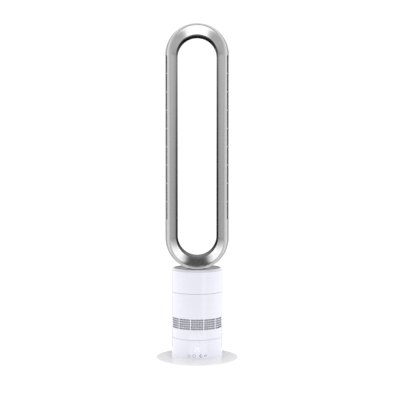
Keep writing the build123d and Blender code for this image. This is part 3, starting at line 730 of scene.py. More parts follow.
@dataclass
class BasePlate:
    """The coned foot plate with a thin rounded rim and a small fillet against the drum.

    Args:
        radius: the plate's radius.
        drum: the drum's radius.
        cone_top: height at which the cone meets the drum.
        deck: height of the raised deck inside the drum.
        step_radius: the deck's radius.
        underside: height of the lower face.
        foot_run: width of the rim's slope below.
        rim_low: height at which the rim is widest.
        rim_top: height of the rim's upper edge.
        rim_run: width of the rim's slope above.
        rim_rise: its rise.
        cone_run: width of the cone's last stretch before the drum.
        cone_dip: how much lower that stretch starts.
        cone_ease: ease of its start.
        recess_radius: radius of the hollow below.
        recess_top: height of its ceiling.
        well_radius: radius of the ballast's well.
        well_top: height of its ceiling.
        fillet: radius of the fillet.
        fillet_lift: how far it stands above the cone's top.
        joint_gap: gap below the drum's foot.
        joint_depth: how far the plate runs in behind the drum's skin.
        post_radius: radius of a board post.
        post_across: the posts' place to either side.
        post_inset: how far they stand inside the board's edges in depth.
        boss_radius: radius of a screw boss.
        boss_circle: radius of the ring of bosses.
    """

    radius: float = field(default_factory=lambda: node_box("base_plate")[1, 0])
    drum: float = field(default_factory=drum_radius)
    cone_top: float = field(default_factory=drum_foot)
    deck: float = field(default_factory=lambda: node_box("control_casing")[0, 2] - 0.1)
    step_radius: float = 71.0
    underside: float = 1.6
    foot_run: float = 4.5
    rim_low: float = 3.4
    rim_top: float = 4.9
    rim_run: float = 5.0
    rim_rise: float = 0.8
    cone_run: float = 13.0
    cone_dip: float = 0.4
    cone_ease: float = 6.0
    recess_radius: float = 110.0
    recess_top: float = 3.8
    well_radius: float = 84.3
    well_top: float = 8.5
    fillet: float = 1.5
    fillet_lift: float = 0.2
    joint_gap: float = 0.1
    joint_depth: float = 0.6
    post_radius: float = 3.0
    post_across: float = 30.0
    post_inset: float = 4.0
    boss_radius: float = 4.0
    boss_circle: float = 25.0

    def outline(self) -> np.ndarray:
        """Radius and height of the plate's section, from the axis below to the axis above.

        The top is a straight cone, eased into the rim; the fillet is a quarter of a circle,
        concave.

        Returns:
            Array (points, 2).
        """
        turn = np.radians(np.linspace(-78, -180, 9))
        fillet_top = self.cone_top + self.fillet + self.fillet_lift
        fillet = np.stack([
            self.drum + self.fillet + self.fillet * np.cos(turn),
            fillet_top + self.fillet * np.sin(turn),
        ], axis=1)
        lower = rounded([
            (0, self.well_top, 0),
            (self.well_radius, self.well_top, 0.5),
            (self.well_radius, self.recess_top, 0.4),
            (self.recess_radius, self.recess_top, 0.4),
            (self.recess_radius, self.underside, 0.3),
            (self.radius - self.foot_run, self.underside, 1.0),
            (self.radius, self.rim_low, 0.6),
            (self.radius - 0.5, self.rim_top - 0.2, 1.0),
            (self.radius - self.rim_run, self.rim_top + self.rim_rise, 3.0),
            (self.drum + self.cone_run, self.cone_top - self.cone_dip, self.cone_ease),
            (*fillet[0], 0),
        ], closed=False)
        joint, joint_foot = self.drum - self.joint_depth, self.cone_top - self.joint_gap
        inner = [
            (joint, fillet_top), (joint, joint_foot), (self.step_radius, joint_foot),
            (self.step_radius, self.deck), (0, self.deck),
        ]
        return np.concatenate([lower, fillet[1:], inner])

    def build(self) -> None:
        """Makes the plate with its screw bosses and the four posts of the main board."""
        sheets = [revolved(self.outline(), ROUND, closed=False)]
        low, high = node_box("main_board")
        sheets += [
            post(x, y, self.post_radius, self.deck - 1, low[2])
            for x in (-self.post_across, self.post_across)
            for y in (low[1] + self.post_inset, high[1] - self.post_inset)
        ]
        sheets += [
            post(x, y, self.boss_radius, self.recess_top, self.well_top + 0.5)
            for x, y in self.boss_circle * CROSS
        ]
        make_piece("base_plate_shell", sheets, Body.BASE, PLATE_WHITE, Slot.PLATE, ["base_plate"])


@dataclass
class DrumWall:
    """One band of the white drum with softly rounded lips at its joints.

    Args:
        name: the piece's name.
        node: the CAD node it stands for.
        body: its moving group.
        wall: wall thickness.
        lip: radius of the rounded upper outer lip.
        joint_lip: radius of the rounded lower outer lip.
        inner_lip: radius of the two lips inside.
        drop: how far the wall reaches below the node's foot.
    """

    name: str
    node: str
    body: Body
    wall: float = 1.9
    lip: float = 0.8
    joint_lip: float = 1.1
    inner_lip: float = 0.2
    drop: float = 0.0

    def section(self, low: float, high: float) -> np.ndarray:
        """Closed section of the wall between two heights.

        Args:
            low: lower edge.
            high: upper edge.

        Returns:
            Array (points, 2).
        """
        outer = drum_radius()
        inner = outer - self.wall
        return rounded([
            (inner, low, self.inner_lip), (outer, low, self.joint_lip),
            (outer, high, self.lip), (inner, high, self.inner_lip),
        ], 6)

    def sheets(self) -> list[Sheet]:
        """The wall as one band from the node's foot to its top."""
        low, high = node_box(self.node)[:, 2]
        return [revolved(self.section(low - self.drop, high), ROUND)]

    def build(self) -> bpy.types.Object:
        """Makes the band."""
        return make_piece(self.name, self.sheets(), self.body, DRUM_WHITE, Slot.CASING, [self.node])


@dataclass
class ControlDrum(DrumWall):
    """The fixed lower band, with inner screw bosses and the socket's hole."""

    name: str = "control_drum"
    node: str = "control_casing"
    body: Body = Body.BASE
    lip: float = 0.25
    drop: float = field(default_factory=lambda: node_box("control_casing")[0, 2] - drum_foot())
    boss_circle: float = 67.0
    boss_radius: float = 4.6
    boss_sink: float = 0.2
    socket_radius: float = 6.0
    socket_clearance: float = 0.2
    cut_overrun: float = 6.0

    def build(self) -> bpy.types.Object:
        """Makes the band and cuts the socket's hole through its back.

        Returns:
            The object.
        """
        low = node_box(self.node)[0, 2] - self.boss_sink
        top = node_box("turntable_plate")[0, 2]
        turn = np.radians(45 + 90 * np.arange(4))
        sheets = self.sheets()
        for x, y in self.boss_circle * np.stack([np.cos(turn), np.sin(turn)], axis=1):
            sheets.append(post(x, y, self.boss_radius, low, top, 32))
        drum = make_piece(self.name, sheets, self.body, DRUM_WHITE, Slot.CASING, [self.node])
        socket = node_box("power_socket")
        bore = self.socket_radius + self.socket_clearance
        first, last = self.boss_circle - 1, socket[1, 1] + self.cut_overrun
        cut_away(drum, along_y(bore, 0.0, socket[:, 2].mean(), first, last))
        return drum


@dataclass
class IntakeDrum(DrumWall):
    """The lower band of the tower, with five rows of intake slots between upright ribs.

    Args:
        grille_low: height of the slots' sill.
        grille_high: height of their head.
        rows: rows of slots.
        columns: upright ribs, and so columns of slots.
        first_column: degrees from the front to the first rib.
        slat_height: thickness of a slat.
        slat_inset: how far the slats stand behind the skin.
        slat_taper: how much thinner and narrower a slat is inside.
        slat_fall: how much lower its upper face is inside.
        edge: ease of the outer edges.
        inner_edge: ease of the inner edges.
        rib_width: width of a rib.
        rib_overlap: how far a rib runs into the walls.
        boss_circle: radius of the ring of screw bosses.
        boss_radius: radius of a boss.
        boss_top: height of a boss's head.
        shelf_inner: inner radius of the fan unit's shelf.
        shelf_thickness: its thickness.
        shelf_overlap: how far it runs into the wall.
    """

    name: str = "intake_drum"
    node: str = "intake_casing"
    body: Body = Body.TOWER
    lip: float = 1.1
    joint_lip: float = 0.25
    grille_low: float = 94.5
    grille_high: float = 124.6
    rows: int = 5
    columns: int = 12
    first_column: float = 15.0
    slat_height: float = 1.7
    slat_inset: float = 0.65
    slat_taper: float = 0.5
    slat_fall: float = 0.1
    edge: float = 0.7
    inner_edge: float = 0.4
    rib_width: float = 3.1
    rib_overlap: float = 1.0
    boss_circle: float = 67.0
    boss_radius: float = 4.6
    boss_top: float = 82.0
    shelf_inner: float = 63.0
    shelf_thickness: float = 3.0
    shelf_overlap: float = 0.4

    def slat(self, low: float) -> Sheet:
        """A thin ring with rounded edges, a little behind the drum's skin.

        Args:
            low: height of its lower face.

        Returns:
            The sheet.
        """
        outer = drum_radius() - self.slat_inset
        inner = outer - self.wall + self.slat_taper
        high = low + self.slat_height
        return revolved(rounded([
            (inner, low + self.slat_taper, self.inner_edge), (outer, low, self.edge),
            (outer, high, self.edge), (inner, high - self.slat_fall, self.inner_edge),
        ], 4), ROUND)

    def rib(self, degrees: float) -> Sheet:
        """An upright rib: a rounded rectangle round the radius line, carried from sill to sill.

        Args:
            degrees: the rib's place, from the front.

        Returns:
            The sheet.
        """
        outer = drum_radius()
        inner = outer - self.wall
        half = self.rib_width / 2
        outline = rounded([
            (inner, -half, self.inner_edge), (outer, -half, self.edge),
            (outer, half, self.edge), (inner, half, self.inner_edge),
        ], 4)
        radius, turn = outline[:, 0], np.radians(degrees) + outline[:, 1] / outer
        ring = np.stack([radius * np.sin(turn), -radius * np.cos(turn), 0 * turn], axis=1)
        sills = self.grille_low - self.rib_overlap, self.grille_high + self.rib_overlap
        return lofted(ring[None] + np.linspace(*sills, 4)[:, None, None] * np.array([0, 0, 1.0]))

    def shelf(self) -> Sheet:
        """The ring that the fan unit's mounts stand on.

        Returns:
            The sheet.
        """
        top = node_box("vibration_mounts")[0, 2]
        low, outer = top - self.shelf_thickness, drum_radius() - self.wall + self.shelf_overlap
        return revolved(rounded([
            (self.shelf_inner, low, self.inner_edge), (outer, low, 0),
            (outer, top, 0), (self.shelf_inner, top, self.inner_edge),
        ]))

    def sheets(self) -> list[Sheet]:
        """The two walls, the slats, the ribs, the screw bosses and the fan unit's shelf.

        Returns:
            The sheets.
        """
        low, high = node_box(self.node)[:, 2]
        walls = ((low, self.grille_low), (self.grille_high, high))
        pitch = (self.grille_high - self.grille_low + self.slat_height) / self.rows
        first = self.grille_low + pitch - self.slat_height
        made = [revolved(self.section(foot, top), ROUND) for foot, top in walls]
        made += [self.slat(first + pitch * row) for row in range(self.rows - 1)]
        made += [
            self.rib(self.first_column + 360 * step / self.columns) for step in range(self.columns)
        ]
        made.append(self.shelf())
        for x, y in self.boss_circle * CROSS:
            made.append(post(x, y, self.boss_radius, low, self.boss_top, 32))
        return made


@dataclass
class ScreenNet:
    """Fine level wires in front of the dust screen's upright bars."""

    wire: float = 0.28
    pitch: float = 2.4
    margin: float = 6.0
    clearance: float = 0.1
    cloth_outer: float = 69.4
    cloth_inner: float = 68.9
    cloth_margin: float = 1.0

    def build(self) -> None:
        """Makes one thin ring of round wire for each level, and the cloth behind them."""
        low, high = node_box("dust_screen")[:, 2]
        radius = node_box("dust_screen")[1, 0] - self.wire - self.clearance
        angle = np.linspace(0, 2 * np.pi, 8, endpoint=False)
        across, rise = radius + self.wire * np.cos(angle), self.wire * np.sin(angle)
        levels = np.arange(low + self.margin, high - self.margin, self.pitch)
        wires = [revolved(np.stack([across, level + rise], axis=1), 128) for level in levels]
        make_piece("screen_net", wires, Body.TOWER, NET_GREY, Slot.SCREEN)
        foot, top = low + self.cloth_margin, high - self.cloth_margin
        cloth = rounded([
            (self.cloth_inner, foot, 0.1), (self.cloth_outer, foot, 0.1),
            (self.cloth_outer, top, 0.1), (self.cloth_inner, top, 0.1),
        ], 2)
        make_piece("filter_cloth", [revolved(cloth, 128)], Body.TOWER, CLOTH_GREY, Slot.SCREEN)


@dataclass
class Collar:
    """The light chamfered trim ring between the drum and the dark cap.

    Args:
        drum_top: height of the drum's upper edge.
        outer: the drum's radius.
        inner: radius of the opening that holds the cap.
        crest: radius of the crest's inner end.
        shoulder: radius of its outer end.
        spigot: radius of the part that sits in the drum.
        ledge_inner: inner radius of the cap's ledge.
        ledge: its thickness.
        gap: joint above the drum.
        rise: height of the upright part of the skin, with the joint.
        crown: how far the ring stands above the node's top.
    """

    drum_top: float = field(default_factory=lambda: node_box("upper_casing")[1, 2])
    outer: float = field(default_factory=drum_radius)
    inner: float = 66.7
    crest: float = 68.1
    shoulder: float = 68.9
    spigot: float = 70.6
    ledge_inner: float = 62.5
    ledge: float = 2.2
    gap: float = 0.3
    rise: float = 1.6
    crown: float = 1.4

    def build(self) -> None:
        """Makes the ring: a rounded chamfer outside and the ledge that holds the cap inside."""
        low, high = node_box("collar_ring")[:, 2] + [0, self.crown]
        seat, ledge = self.drum_top + self.gap, low + self.ledge
        outline = rounded([
            (self.ledge_inner, low, 0.3), (self.spigot, low, 0.3), (self.spigot, seat, 0),
            (self.outer, seat, 0.3), (self.outer - 0.5, self.drum_top + self.rise, 0.8),
            (self.shoulder, high - 0.3, 1.0), (self.crest, high, 0.6), (self.inner, high, 0.5),
            (self.inner, ledge, 0.2), (self.ledge_inner, ledge, 0.3),
        ])
        ring = [revolved(outline, ROUND)]
        make_piece("collar_trim", ring, Body.TOWER, COLLAR_WHITE, Slot.COLLAR, ["collar_ring"])


@dataclass
class PrintedMarks:
    """The four touch marks and the two-figure display at the front of the control drum.

    Args:
        skin: radius of the drum's skin.
        level: height of the marks' middle.
        size: reach of a mark from its middle.
        line: width of a stroke.
        rise: how far a stroke stands out of the skin.
        sink: how far it goes into it.
        power_x: place across of the power mark.
        speed_x: the same for the speed mark.
        night_x: the same for the night mark.
        swing_x: the same for the swing mark.
        two_x: the same for the figure 2.
        six_x: the same for the figure 6.
    """

    skin: float = field(default_factory=drum_radius)
    level: float = 21.3
    size: float = 4.6
    line: float = 1.1
    rise: float = 0.06
    sink: float = 0.05
    power_x: float = -23.0
    speed_x: float = -8.8
    night_x: float = 11.0
    swing_x: float = 24.0
    two_x: float = -4.7
    six_x: float = 4.9

    def draw(self, line: np.ndarray, middle: float, closed: bool = False) -> Sheet:
        """One raised stroke on the skin.

        Args:
            line: array (points, 2) of distance along the skin and height above the floor.
            middle: x of the mark's middle.
            closed: the line is a ring.

        Returns:
            The sheet.
        """
        low, high = self.skin - self.sink, self.skin + self.rise
        return stroke(line, self.line, low, high, middle, closed)

    def mark(self, lines: Sequence[np.ndarray], middle: float) -> list[Sheet]:
        """The strokes of one touch mark, at the marks' level.

        Args:
            lines: arrays (points, 2) round the mark's middle.
            middle: x of the mark's middle.

        Returns:
            The sheets.
        """
        return [self.draw(line + np.array([0, self.level]), middle) for line in lines]

    def power(self) -> list[Sheet]:
        """An open ring with an upright bar.

        Returns:
            The sheets.
        """
        ring = arc_line(self.size * 0.85, 125, 415, (0, -0.3))
        bar = np.stack([np.zeros(5), np.linspace(0.4, self.size, 5)], axis=1)
        return self.mark([ring, bar], self.power_x)

    def speed(self) -> list[Sheet]:
        """A ring of four arcs, with a small gap after each.

        Returns:
            The sheets.
        """
        starts = (48, 138, 228, 318)
        ring = [arc_line(self.size * 0.88, start, start + 84, steps=20) for start in starts]
        return self.mark(ring, self.speed_x)

    def night(self) -> list[Sheet]:
        """A crescent moon between two arcs.

        Returns:
            The sheets.
        """
        outer = arc_line(self.size * 0.9, 60, 330)
        inner = arc_line(self.size * 0.72, 78, 312, (self.size * 0.32, self.size * 0.12))
        return self.mark([outer, inner], self.night_x)

    def swing(self) -> list[Sheet]:
        """Two level arcs with arrowheads, for turning from side to side.

        Returns:
            The sheets.
        """
        reach = self.size * 1.02
        bow = arc_line(reach * 1.15, 35, 145, (0, -reach * 0.68))
        head = np.array([[-1.7, 1.5], [0.0, 0.0], [-1.9, -1.1]]) + [reach * 0.98, 0.1]
        lines = [line for way in (-1, 1) for line in (bow * [1, way], head * [way, way])]
        return self.mark(lines, self.swing_x)

    def figures(self) -> list[Sheet]:
        """The display's two figures, 2 and 6, from straight strokes.

        Returns:
            The sheets.
        """
        low, high = node_box("display_module")[:, 2]
        height, width = (high - low) * 0.42, (high - low) * 0.4
        two = np.array([(-1, 1), (1, 1), (1, 0), (-1, 0), (-1, -1), (1, -1)], float)
        six = np.array([(1, 1), (-1, 1), (-1, -1), (1, -1), (1, 0), (-1, 0)], float)
        made = []
        for shape, middle in ((two, self.two_x), (six, self.six_x)):
            placed = shape * [width / 2, height] + [0, (low + high) / 2]
            for start, end in zip(placed[:-1], placed[1:]):
                made.append(self.draw(np.linspace(start, end, 6), middle))
        return made

    def build(self) -> None:
        """Makes the marks and the figures."""
        marks = self.power() + self.speed() + self.night() + self.swing()
        make_piece("touch_marks", marks, Body.BASE, ICON_GREY, Slot.CASING)
        make_piece("display_figures", self.figures(), Body.BASE, DIGIT_WHITE, Slot.CASING)


@dataclass
class AirLoop:
    """The tall loop: a silver front with a deep flare, a rounded silver back and a black throat.

    Sections are (radius, depth) outlines carried round the stadium.

    Args:
        rim_radius: the mouth's radius at the rim.
        throat_front_radius: the throat's radius where the flare ends.
        throat_front: the depth there.
        throat_back_radius: the throat's radius at its back.
        throat_back: the depth there.
        rim_round: width of the rim's round edge.
        rim_ease: depth of that edge on the flare's side.
        hidden_end: depth at which the flare's hidden face ends.
        flare_power: power of the flare's curve.
        liner_power: power of the throat's curve.
        wall: wall thickness.
        liner_wall: thickness of the black skin.
        shelf_inner: inner radius of the step that carries the bridges.
        shelf_outer: outer radius of the bridges.
        shelf_front: depth of the step.
        bridge_sink: how far the bridges stand behind the lip.
        bridge_ease: how far their front edges are cut back.
        band_radius: radius of the outer band where it starts to round.
        band_front: the depth there.
        band_depth_power: power of the band's superellipse.
        lip_inner: inner radius of the rear part's lip.
        lip_outer: outer radius of the lip.
        lip_ease: ease of its edges.
        lip_cut: how far the ease's middle point is cut back.
        belly: depth of the rear part's widest place.
        nose_radius: radius at which the back turns to the throat.
        back_power: power of the back's superellipse.
        rim_start: share of the flare's depth that the rim's edge takes.
        seam: gap between the black skin and the parts at its ends.
        seat_gap: gap behind the black skin.
        inner_end: depth at which the rear part's inner wall ends.
        slots: outlet slots on each side.
        slot_start: height of the first slot's foot.
        slot_pitch: distance from slot to slot.
        slot_length: length of a slot.
        arc_rim_gain: added to rim_radius at the top and the foot.
        arc_throat_gain: added to throat_front_radius there.
        arc_back_gain: added to throat_back_radius there.
        foot_rim_gain: added to rim_radius once more on the foot's middle line.
        foot_band_gain: added to band_radius there.
    """

    rim_radius: float = 75.2
    throat_front_radius: float = 60.3
    throat_front: float = 18.5
    throat_back_radius: float = 57.1
    throat_back: float = 71.0
    rim_round: float = 0.9
    rim_ease: float = 1.1
    hidden_end: float = -58.0
    flare_power: float = 1.35
    liner_power: float = 1.2
    wall: float = 2.3
    liner_wall: float = 1.5
    shelf_inner: float = 85.5
    shelf_outer: float = 88.6
    shelf_front: float = -2.0
    bridge_sink: float = 0.35
    bridge_ease: float = 0.4
    band_radius: float = 84.0
    band_front: float = -46.0
    band_depth_power: float = 2.1
    lip_inner: float = 87.9
    lip_outer: float = 91.0
    lip_ease: float = 0.4
    lip_cut: float = 0.1
    belly: float = 12.0
    nose_radius: float = 61.0
    back_power: float = 2.2
    rim_start: float = 0.012
    seam: float = 0.3
    seat_gap: float = 0.05
    inner_end: float = 67.0
    slots: int = 9
    slot_start: float = 403.8
    slot_pitch: float = 52.44
    slot_length: float = 49.84
    arc_rim_gain: float = 2.3
    arc_throat_gain: float = 1.4
    arc_back_gain: float = -0.9
    foot_rim_gain: float = 1.1
    foot_band_gain: float = 0.4
    path: Stadium = field(init=False)

    def __post_init__(self) -> None:
        """Reads the loop's reach from the CAD nodes."""
        low, high = node_box("loop_rear_shell")
        self.outer = high[0]
        self.lip_front = low[1]
        self.back = high[1]
        self.rim = node_box("loop_front_ring")[0, 1]
        self.path = Stadium(low[2] + self.outer, high[2] - self.outer)

    def flare(self, depth: np.ndarray, offset: float = 0.0) -> np.ndarray:
        """The flare: its radius grows with a power of the share of the way from throat to rim.

        Args:
            depth: depths between throat and rim.
            offset: added to the radius.

        Returns:
            Array (points, 2).
        """
        share = np.clip((self.throat_front - depth) / (self.throat_front - self.rim), 0, 1)
        span = self.rim_radius - self.throat_front_radius
        radius = self.throat_front_radius + span * share**self.flare_power
        return np.stack([radius + offset, depth], axis=1)

    def liner(self, depth: np.ndarray, offset: float = 0.0) -> np.ndarray:
        """The throat: its radius falls towards the back with a power of the depth's share.

        Args:
            depth: depths between the throat's two ends.
            offset: added to the radius.

        Returns:
            Array (points, 2).
        """
        share = np.clip((self.throat_back - depth) / (self.throat_back - self.throat_front), 0, 1)
        span = self.throat_front_radius - self.throat_back_radius
        radius = self.throat_back_radius + span * share**self.liner_power
        return np.stack([radius + offset, depth], axis=1)

    def back_curve(self, inset: float, steps: int) -> np.ndarray:
        """The rounded back, from the lip to the nose.

        Behind the belly it is a quarter of a superellipse, and before it the radius falls with
        the square.

        Args:
            inset: distance inside the outer skin.
            steps: stretches.

        Returns:
            Array (points, 2).
        """
        front = np.linspace(self.lip_front, self.belly, 8, endpoint=False)
        share = (self.belly - front) / (self.belly - self.lip_front)
        swell = (self.outer - self.lip_outer) * share**2
        fore = np.stack([self.outer - swell - inset, front], axis=1)
        turn = np.linspace(0, np.pi / 2, steps)
        power = 2 / self.back_power
        rise = self.outer - self.nose_radius - inset
        radius = self.nose_radius + rise * np.cos(turn) ** power
        depth = self.belly + (self.back - self.belly - inset) * np.sin(turn) ** power
        return np.concatenate([fore, np.stack([radius, depth], axis=1)])

    def band_curve(self, steps: int) -> np.ndarray:
        """The outer band from the shelf to the rim: straight, then a quarter of a superellipse.

        Args:
            steps: stretches of the round part.

        Returns:
            Array (points, 2).
        """
        foot = self.rim_radius + self.rim_round
        turn = np.linspace(0, np.pi / 2, steps + 1)
        power = 2 / self.band_depth_power
        radius = foot + (self.band_radius - foot) * np.cos(turn) ** power
        depth = self.band_front + (self.rim - self.band_front) * np.sin(turn) ** power
        shelf, band = [self.shelf_inner, self.shelf_front], [self.band_radius, self.band_front]
        straight = np.linspace(shelf, band, 6)
        return np.concatenate([straight[:-1], np.stack([radius, depth], axis=1)])

    def rim_curve(self, steps: int) -> np.ndarray:
        """The rim's small round edge: a parabola from the band's end to the flare's start.

        Args:
            steps: stretches; both ends are left out.

        Returns:
            Array (steps - 1, 2).
        """
        start = np.array([self.rim_radius + self.rim_round, self.rim])
        corner = np.array([self.rim_radius + 0.1, self.rim])
        end = self.flare(np.array([self.rim + self.rim_ease]))[0]
        share = np.linspace(0, 1, steps + 1)[1:-1, None]
        return (1 - share) ** 2 * start + 2 * share * (1 - share) * corner + share**2 * end

    def front_section(self) -> np.ndarray:
        """Closed section of the front part: band, rim, flare, the flare's back and the wedge.

        Returns:
            Array (points, 2).
        """
        depth = self.rim + (self.throat_front - self.rim) * np.linspace(self.rim_start, 1, 40)
        hidden = np.linspace(self.throat_front, self.hidden_end, 14)
        shelf_inner, shelf_back = self.shelf_inner + 0.1, self.shelf_front + self.wall
        tail = np.array([
            (self.band_radius - self.wall, self.band_front - 1.0),
            (self.shelf_inner - self.wall, shelf_back),
            (shelf_inner, shelf_back),
            (shelf_inner, self.shelf_front),
        ])
        skin = [self.band_curve(24), self.rim_curve(8), self.flare(depth)]
        return np.concatenate([*skin, self.flare(hidden, self.wall), tail])

    def rear_section(self) -> np.ndarray:
        """Closed section of the rear part: lip, rounded back, nose, the liner's seat, inner skin.

        Returns:
            Array (points, 2).
        """
        lip = np.array([
            (self.lip_inner, self.lip_front + self.lip_ease),
            (self.lip_inner + self.lip_cut, self.lip_front + self.lip_cut),
            (self.lip_inner + self.lip_ease, self.lip_front),
            (self.lip_outer - self.lip_ease, self.lip_front),
            (self.lip_outer - self.lip_cut, self.lip_front + self.lip_cut),
            (self.lip_outer, self.lip_front + self.lip_ease),
        ])
        outside, inside = self.back_curve(0.0, 48)[1:], self.back_curve(self.wall, 24)[-3:0:-1]
        turn = np.linspace(0, np.pi / 2, 8)[1:]
        nose_end = self.throat_back + self.seam
        nose = np.stack([
            self.nose_radius - (self.nose_radius - self.throat_back_radius) * np.sin(turn),
            nose_end + (self.back - nose_end) * np.cos(turn),
        ], axis=1)
        front = self.throat_front + self.seam
        seat = self.liner(np.linspace(self.throat_back, front, 12), self.liner_wall + self.seat_gap)
        under = self.liner(np.linspace(front, self.inner_end, 12), self.liner_wall + self.wall)
        ledge = np.array([(seat[0, 0], nose_end)])
        return np.concatenate([lip, outside, nose, ledge, seat, under, inside])

    def liner_section(self) -> np.ndarray:
        """Closed section of the throat's black skin.

        Returns:
            Array (points, 2).
        """
        depth = np.linspace(self.throat_front + 0.2, self.throat_back, 16)
        return np.concatenate([self.liner(depth), self.liner(depth[::-1], self.liner_wall)])

    def bridge_section(self) -> np.ndarray:
        """Closed section of the bridge between front and back, nearly flush with the lip.

        Returns:
            Array (points, 2).
        """
        front, back = self.lip_front + self.bridge_sink, self.shelf_front + self.wall
        return np.array([
            (self.band_radius - self.bridge_ease, front), (self.lip_inner + 0.3, front),
            (self.shelf_outer, self.shelf_front), (self.shelf_outer, back),
            (self.shelf_inner, back), (self.shelf_inner - self.bridge_ease, self.shelf_front),
        ])

    def bridges(self) -> list[Sheet]:
        """The bridges: whole round both arcs, and on the straight sides the ribs between slots.

        Returns:
            The sheets.
        """
        section = self.bridge_section()
        starts = self.slot_start + self.slot_pitch * np.arange(self.slots)
        ends = starts + self.slot_length
        stations = [
            [(turn, height) for height in np.linspace(low, high, 4)]
            for turn in (0.0, np.pi)
            for low, high in zip(ends[:-1], starts[1:])
        ]
        arc = np.linspace(0, np.pi, self.path.arc_steps + 1)
        top = [(turn, self.path.upper) for turn in arc]
        foot = [(turn + np.pi, self.path.lower) for turn in arc]
        stations.append([(0.0, ends[-1]), *top, (np.pi, ends[-1])])
        stations.append([(np.pi, starts[0]), *foot, (2 * np.pi, starts[0])])
        return [lofted(self.path.place(section, np.array(line))) for line in stations]

    def build(self) -> None:
        """Makes the loop's four pieces, a little wider in the mouth at the top and the foot."""
        carry = self.path.carry
        arc = replace(
            self,
            rim_radius=self.rim_radius + self.arc_rim_gain,
            throat_front_radius=self.throat_front_radius + self.arc_throat_gain,
            throat_back_radius=self.throat_back_radius + self.arc_back_gain,
        )
        foot = replace(
            arc,
            rim_radius=arc.rim_radius + self.foot_rim_gain,
            band_radius=arc.band_radius + self.foot_band_gain,
        )
        front = carry(self.front_section(), arc.front_section(), foot.front_section())
        back = carry(self.rear_section(), arc.rear_section())
        throat = carry(self.liner_section(), arc.liner_section())
        silver = (Body.TOWER, LOOP_SILVER, Slot.LOOP)
        black = (Body.TOWER, THROAT_BLACK, Slot.THROAT)
        make_piece("loop_front", [front], *silver, ["loop_front_ring"])
        make_piece("slot_bridges", self.bridges(), *silver)
        make_piece("loop_back", [back], *silver, ["loop_rear_shell"])
        make_piece("throat_skin", [throat], *black, ["throat_liner"])


@dataclass
class CarriedParts:
    """Finishes for the CAD nodes that are shown as they are."""

    finishes: dict[Finish, tuple[str, ...]] = field(default_factory=lambda: {
        IRON: ("ballast_ring",),
        BLACK_PLASTIC: ("base_cover", "power_socket"),
        RUBBER: ("rubber_feet", "vibration_mounts", "neck_seal"),
        STEEL: (
            "base_screws", "casing_screws", "board_screws", "turntable_screws",
            "swivel_motor_screws", "pinion_shaft", "hub_clip", "sector_screws", "deck_screws",
            "motor_shaft", "rotor_bell", "stator_core", "lower_bearing", "upper_bearing",
            "motor_screws", "cap_screws", "neck_bracket", "neck_screws", "touch_springs",
        ),
        BOARD_GREEN: ("touch_board", "display_board", "main_board", "motor_board"),
        DISPLAY_BLACK: ("display_module",),
        ALUMINIUM: ("turntable_plate", "swivel_motor", "bearing_tube"),
        NYLON: ("slide_ring", "swivel_pinion", "swivel_sector"),
        INNER_GREY: (
            "swivel_deck", "impeller_shroud", "diffuser", "tail_cone", "joint_ring", "neck_duct",
        ),
        NET_GREY: ("dust_screen",),
        WHEEL_GREY: ("impeller",),
        MAGNET: ("rotor_magnet",),
        COPPER: ("stator_coils",),
        CAP_GREY: ("top_cap",),
        LOOP_SILVER: ("slot_spacers",),
    })
    crease: float = 30.0

    def build(self) -> None:
        """Gives every carried node its finish and smooth shading with sharp edges."""
        for finish, names in self.finishes.items():
            for name in names:
                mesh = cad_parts[name].data
                mesh.materials.clear()
                mesh.materials.append(finish.material())
                mesh.shade_smooth()
                mesh.set_sharp_from_angle(angle=np.radians(self.crease))
                log.info("carried %s: %s", name, finish.name)


# -----------------------------------------------------------------------------
# Studio
# -----------------------------------------------------------------------------
def read_stops(value: np.ndarray, stops: Stops) -> np.ndarray:
    """Tones read between stops in straight stretches.

    Args:
        value: where to read the tones.
        stops: (place, tone), places rising.

    Returns:
        Array like value.
    """
    places, tones = np.array(stops).T
    return np.interp(value, places, tones)


@dataclass
class Card:
    """A glowing sheet that the fan's glossy skins reflect.

    Args:
        name: the card's name.
        steep: share of the tone that is left for skins that look at the card steeply.
    """

    name: str
    steep: float = field(default=1.0, kw_only=True)

    def points(self) -> np.ndarray:
        """The card's grid, an array (rows, columns, 3) in millimetres."""
        raise NotImplementedError

    def tones(self) -> np.ndarray:
        """Radiance at every point of the grid."""
        raise NotImplementedError


